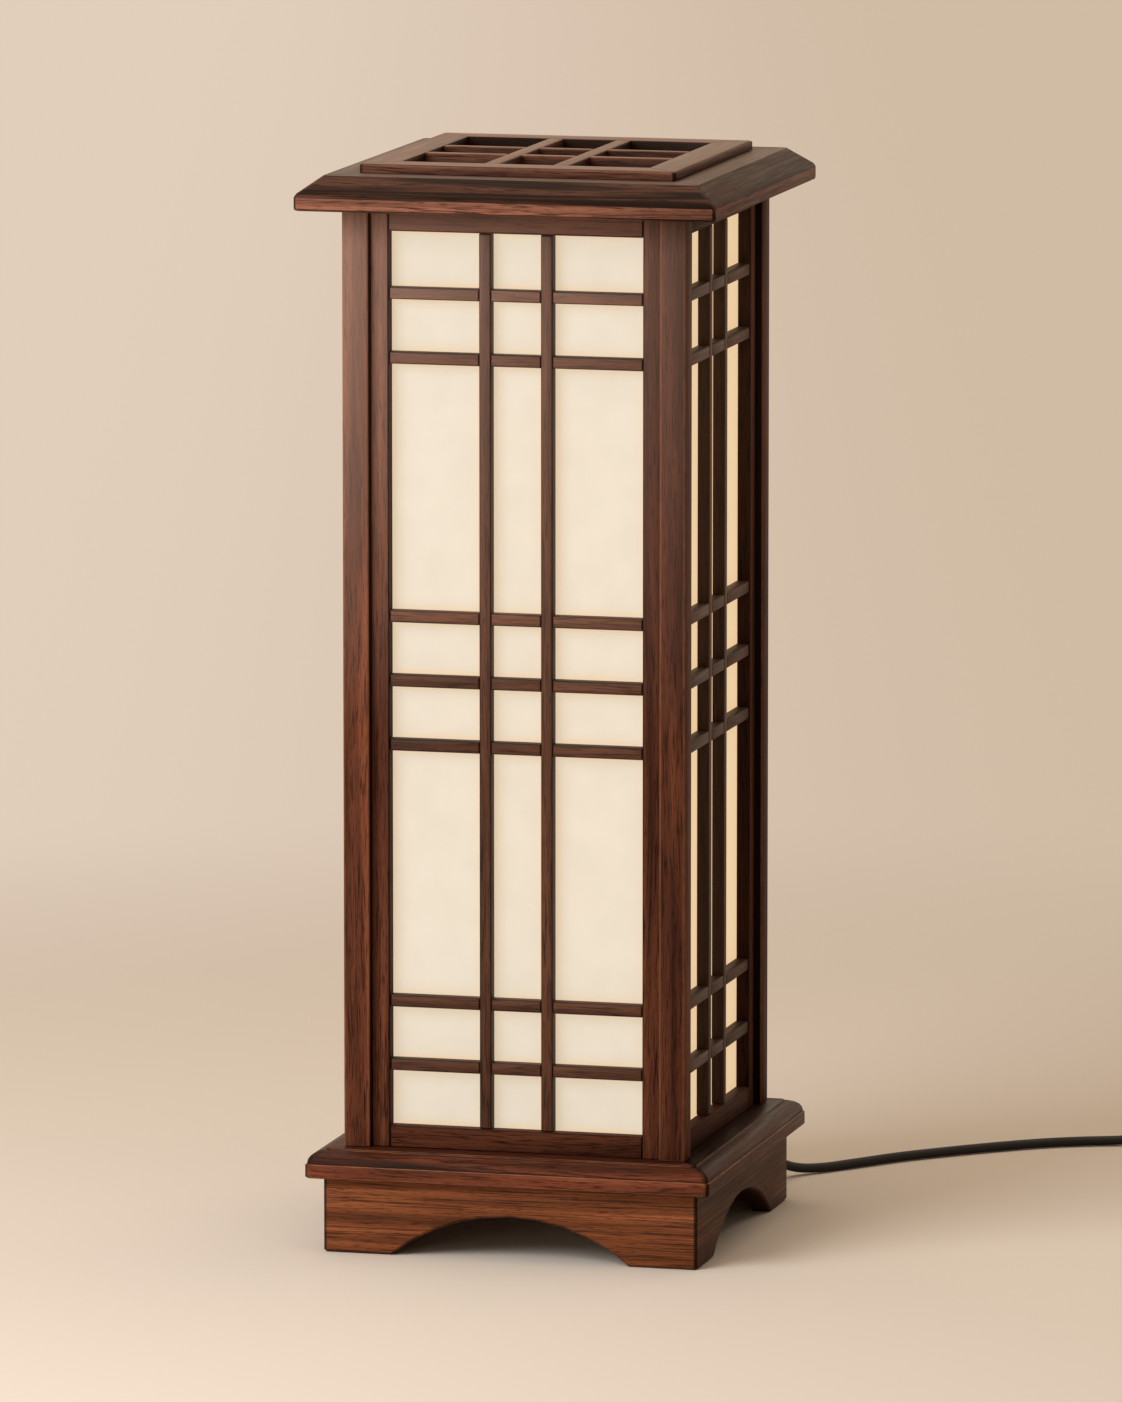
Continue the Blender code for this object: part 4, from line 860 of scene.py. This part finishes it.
def addSwitchLead():
    x, z, switchZ = lead["glandX"], lead["glandZ"], lead["switchZ"]
    switchLow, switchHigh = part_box("switch_body")
    switchY = (switchLow.y + switchHigh.y) / 2
    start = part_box("cord_grommet")[1].y + lead["gap"]
    end = switchLow.x - lead["gap"]
    route = [(x, start, z), (x, start + lead["endRun"], z), *lead["toSwitch"],
             (end - lead["endRun"], switchY, switchZ), (end, switchY, switchZ)]
    piece, length = addLead("lead_to_switch", smoothRoute(route), "cord_lead")
    print("lead to the switch", round(length, 3), "m")


def addTie(turns):
    # A thin strap drawn tight round the bundle, overlapped on top
    strands = turns[coil["tieAt"]::coil["pointsPerTurn"]]
    inner, outer = [], []
    for k in range(coil["tieFacets"]):
        angle = math.tau * k / coil["tieFacets"]
        way = Vector((math.cos(angle), 0, math.sin(angle)))
        strand = max(strands, key=way.dot)
        thick = coil["tie"] if way.z < coil["tieLapFrom"] else coil["tieLap"]
        inner.append(strand + way * (lead["radius"] + coil["tieGap"]))
        outer.append(inner[-1] + way * thick)
    bm = bmesh.new()
    edges = []
    for loop in (inner, outer):
        verts = [bm.verts.new(point - Vector((0, coil["tieWidth"] / 2, 0))) for point in loop]
        edges += [bm.edges.new(pair) for pair in zip(verts, verts[1:] + verts[:1])]
    bmesh.ops.bridge_loops(bm, edges=edges)
    band = bmesh.ops.extrude_face_region(bm, geom=bm.faces[:])
    bmesh.ops.translate(bm, verts=movedVerts(band), vec=(0, coil["tieWidth"], 0))
    bmesh.ops.recalc_face_normals(bm, faces=bm.faces)
    return newPiece("coil_tie", bm, nylonTape, "lamp")


def addPlugLead():
    switchLow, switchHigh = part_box("switch_body")
    switchY, switchZ = (switchLow.y + switchHigh.y) / 2, lead["switchZ"]
    plugLow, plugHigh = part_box("plug_body")
    plugY, plugZ = (plugLow.y + plugHigh.y) / 2, lead["plugZ"]
    start = switchHigh.x + lead["gap"]
    end = plugLow.x - lead["gap"]
    turns = coilTurns()
    link = [(start, switchY, switchZ), (start + lead["endRun"], switchY, switchZ),
            *lead["toCoil"], turns[0]]
    tail = [turns[-1], *(turns[-1] + Vector(step) for step in lead["offCoil"]), *lead["toPlug"],
            (end - lead["endRun"], plugY, plugZ), (end, plugY, plugZ)]
    points = smoothRoute(link)[:-1] + turns + smoothRoute(tail)[1:]
    piece, length = addLead("lead_to_plug", points, "cord_coil")
    ([fittingPieces[name] for name in ("plug_body", "plug_blade_left", "plug_blade_right")]
            + [addTie(turns)])
    print("lead to the plug", round(length, 3), "m")


addInnerLead()
addSwitchLead()
addPlugLead()


# Studio: a pale floor, a soft key at the left front, a low front fill, a wide top light, an even surround
studio = {
    "floor": "#e9e1d7", "floorReach": 60, "floorFacets": 96, "floorDrop": 0.0002,   # metres
    "floorRoughness": 0.9, "floorShine": 0.1,
    # painted light falloff: the backdrop is lighter at the left, darker at the right
    "backdropLeft": "#e1cebb", "backdropRight": "#d0bba5", "backdropTurn": 0.5,     # metres to each side
    "backdropFrom": 0.55, "backdropTo": 1.6,                                        # metres away
    "lights": {
        "key": {"place": (-1.00, -1.50, 1.30), "size": 1.2, "power": 30, "colour": "#ffffff"},
        "front": {"place": (-0.50, -2.60, 0.35), "size": 1.0, "power": 13, "colour": "#ffe8cc"},
        "top": {"place": (0.00, 0.20, 2.30), "size": 3.0, "power": 38, "colour": "#fbe4cc"},
    },
    "aim": (0, 0, 0.3),
    "surround": "#ead2b9", "surroundStrength": 0.18,
}


def seenDirectly(tree):
    # One for rays that show a surface in a picture, a mirror or a glass, nought for rays that only light
    path = addNode(tree, "ShaderNodeLightPath").outputs
    two = maths(tree, "MAXIMUM", path["Is Camera Ray"], path["Is Glossy Ray"])
    return maths(tree, "MAXIMUM", two, path["Is Transmission Ray"])


def makeFloor():
    # Matt paper round the lamp, which keeps its shadow, running out to a backdrop painted lighter at the
    # left and darker at the right, as light falling from the left
    material, tree, shader = newMaterial("pale backdrop paper")
    fill(tree, shader, {"Base Color": linear(studio["floor"]), "Roughness": studio["floorRoughness"],
                        "Specular IOR Level": studio["floorShine"]})
    place = objectPlace(tree)
    away = addNode(tree, "ShaderNodeVectorMath", {0: place}, operation="LENGTH").outputs["Value"]
    far = ranged(tree, away, studio["backdropFrom"], studio["backdropTo"], interpolation_type="SMOOTHSTEP")
    turn = math.radians(shot["azimuth"])
    right = addNode(tree, "ShaderNodeVectorMath", {0: place, 1: (math.cos(turn), math.sin(turn), 0)},
                    operation="DOT_PRODUCT").outputs["Value"]
    share = ranged(tree, right, -studio["backdropTurn"], studio["backdropTurn"],
                   interpolation_type="SMOOTHSTEP")
    colour = mixed(tree, share, linear(studio["backdropLeft"]), linear(studio["backdropRight"]))
    even = addNode(tree, "ShaderNodeEmission", {"Color": colour}).outputs[0]
    shownFar = maths(tree, "MULTIPLY", far, seenDirectly(tree))
    both = addNode(tree, "ShaderNodeMixShader", {0: shownFar, 1: shader.outputs[0], 2: even})
    fill(tree, tree.nodes["Material Output"], {"Surface": both.outputs[0]})
    return material


def addFloor():
    bm = bmesh.new()
    bmesh.ops.create_circle(bm, cap_ends=True, segments=studio["floorFacets"], radius=studio["floorReach"])
    bmesh.ops.translate(bm, vec=(0, 0, -studio["floorDrop"]), verts=bm.verts)
    mesh = bpy.data.meshes.new("floor")
    bm.to_mesh(mesh)
    bm.free()
    mesh.materials.append(makeFloor())
    floor = bpy.data.objects.new("floor", mesh)
    scene.collection.objects.link(floor)


def lightStudio():
    for name, look in studio["lights"].items():
        panel = bpy.data.lights.new(name, "AREA")
        panel.energy = look["power"]
        panel.color = linear(look["colour"])[:3]
        panel.size = look["size"]
        light = bpy.data.objects.new(name, panel)
        away = Vector(look["place"]) - Vector(studio["aim"])
        light.location = look["place"]
        light.rotation_euler = away.to_track_quat("Z", "Y").to_euler()
        scene.collection.objects.link(light)

    world = bpy.data.worlds.new("surround")
    scene.world = world
    world.use_nodes = True
    tree = world.node_tree
    strength = ranged(tree, seenDirectly(tree), 0, 1, studio["surroundStrength"], 1)
    fill(tree, tree.nodes["Background"], {"Color": linear(studio["surround"]), "Strength": strength})
    scene.view_settings.view_transform = "Standard"


addFloor()
lightStudio()
print("studio lit")
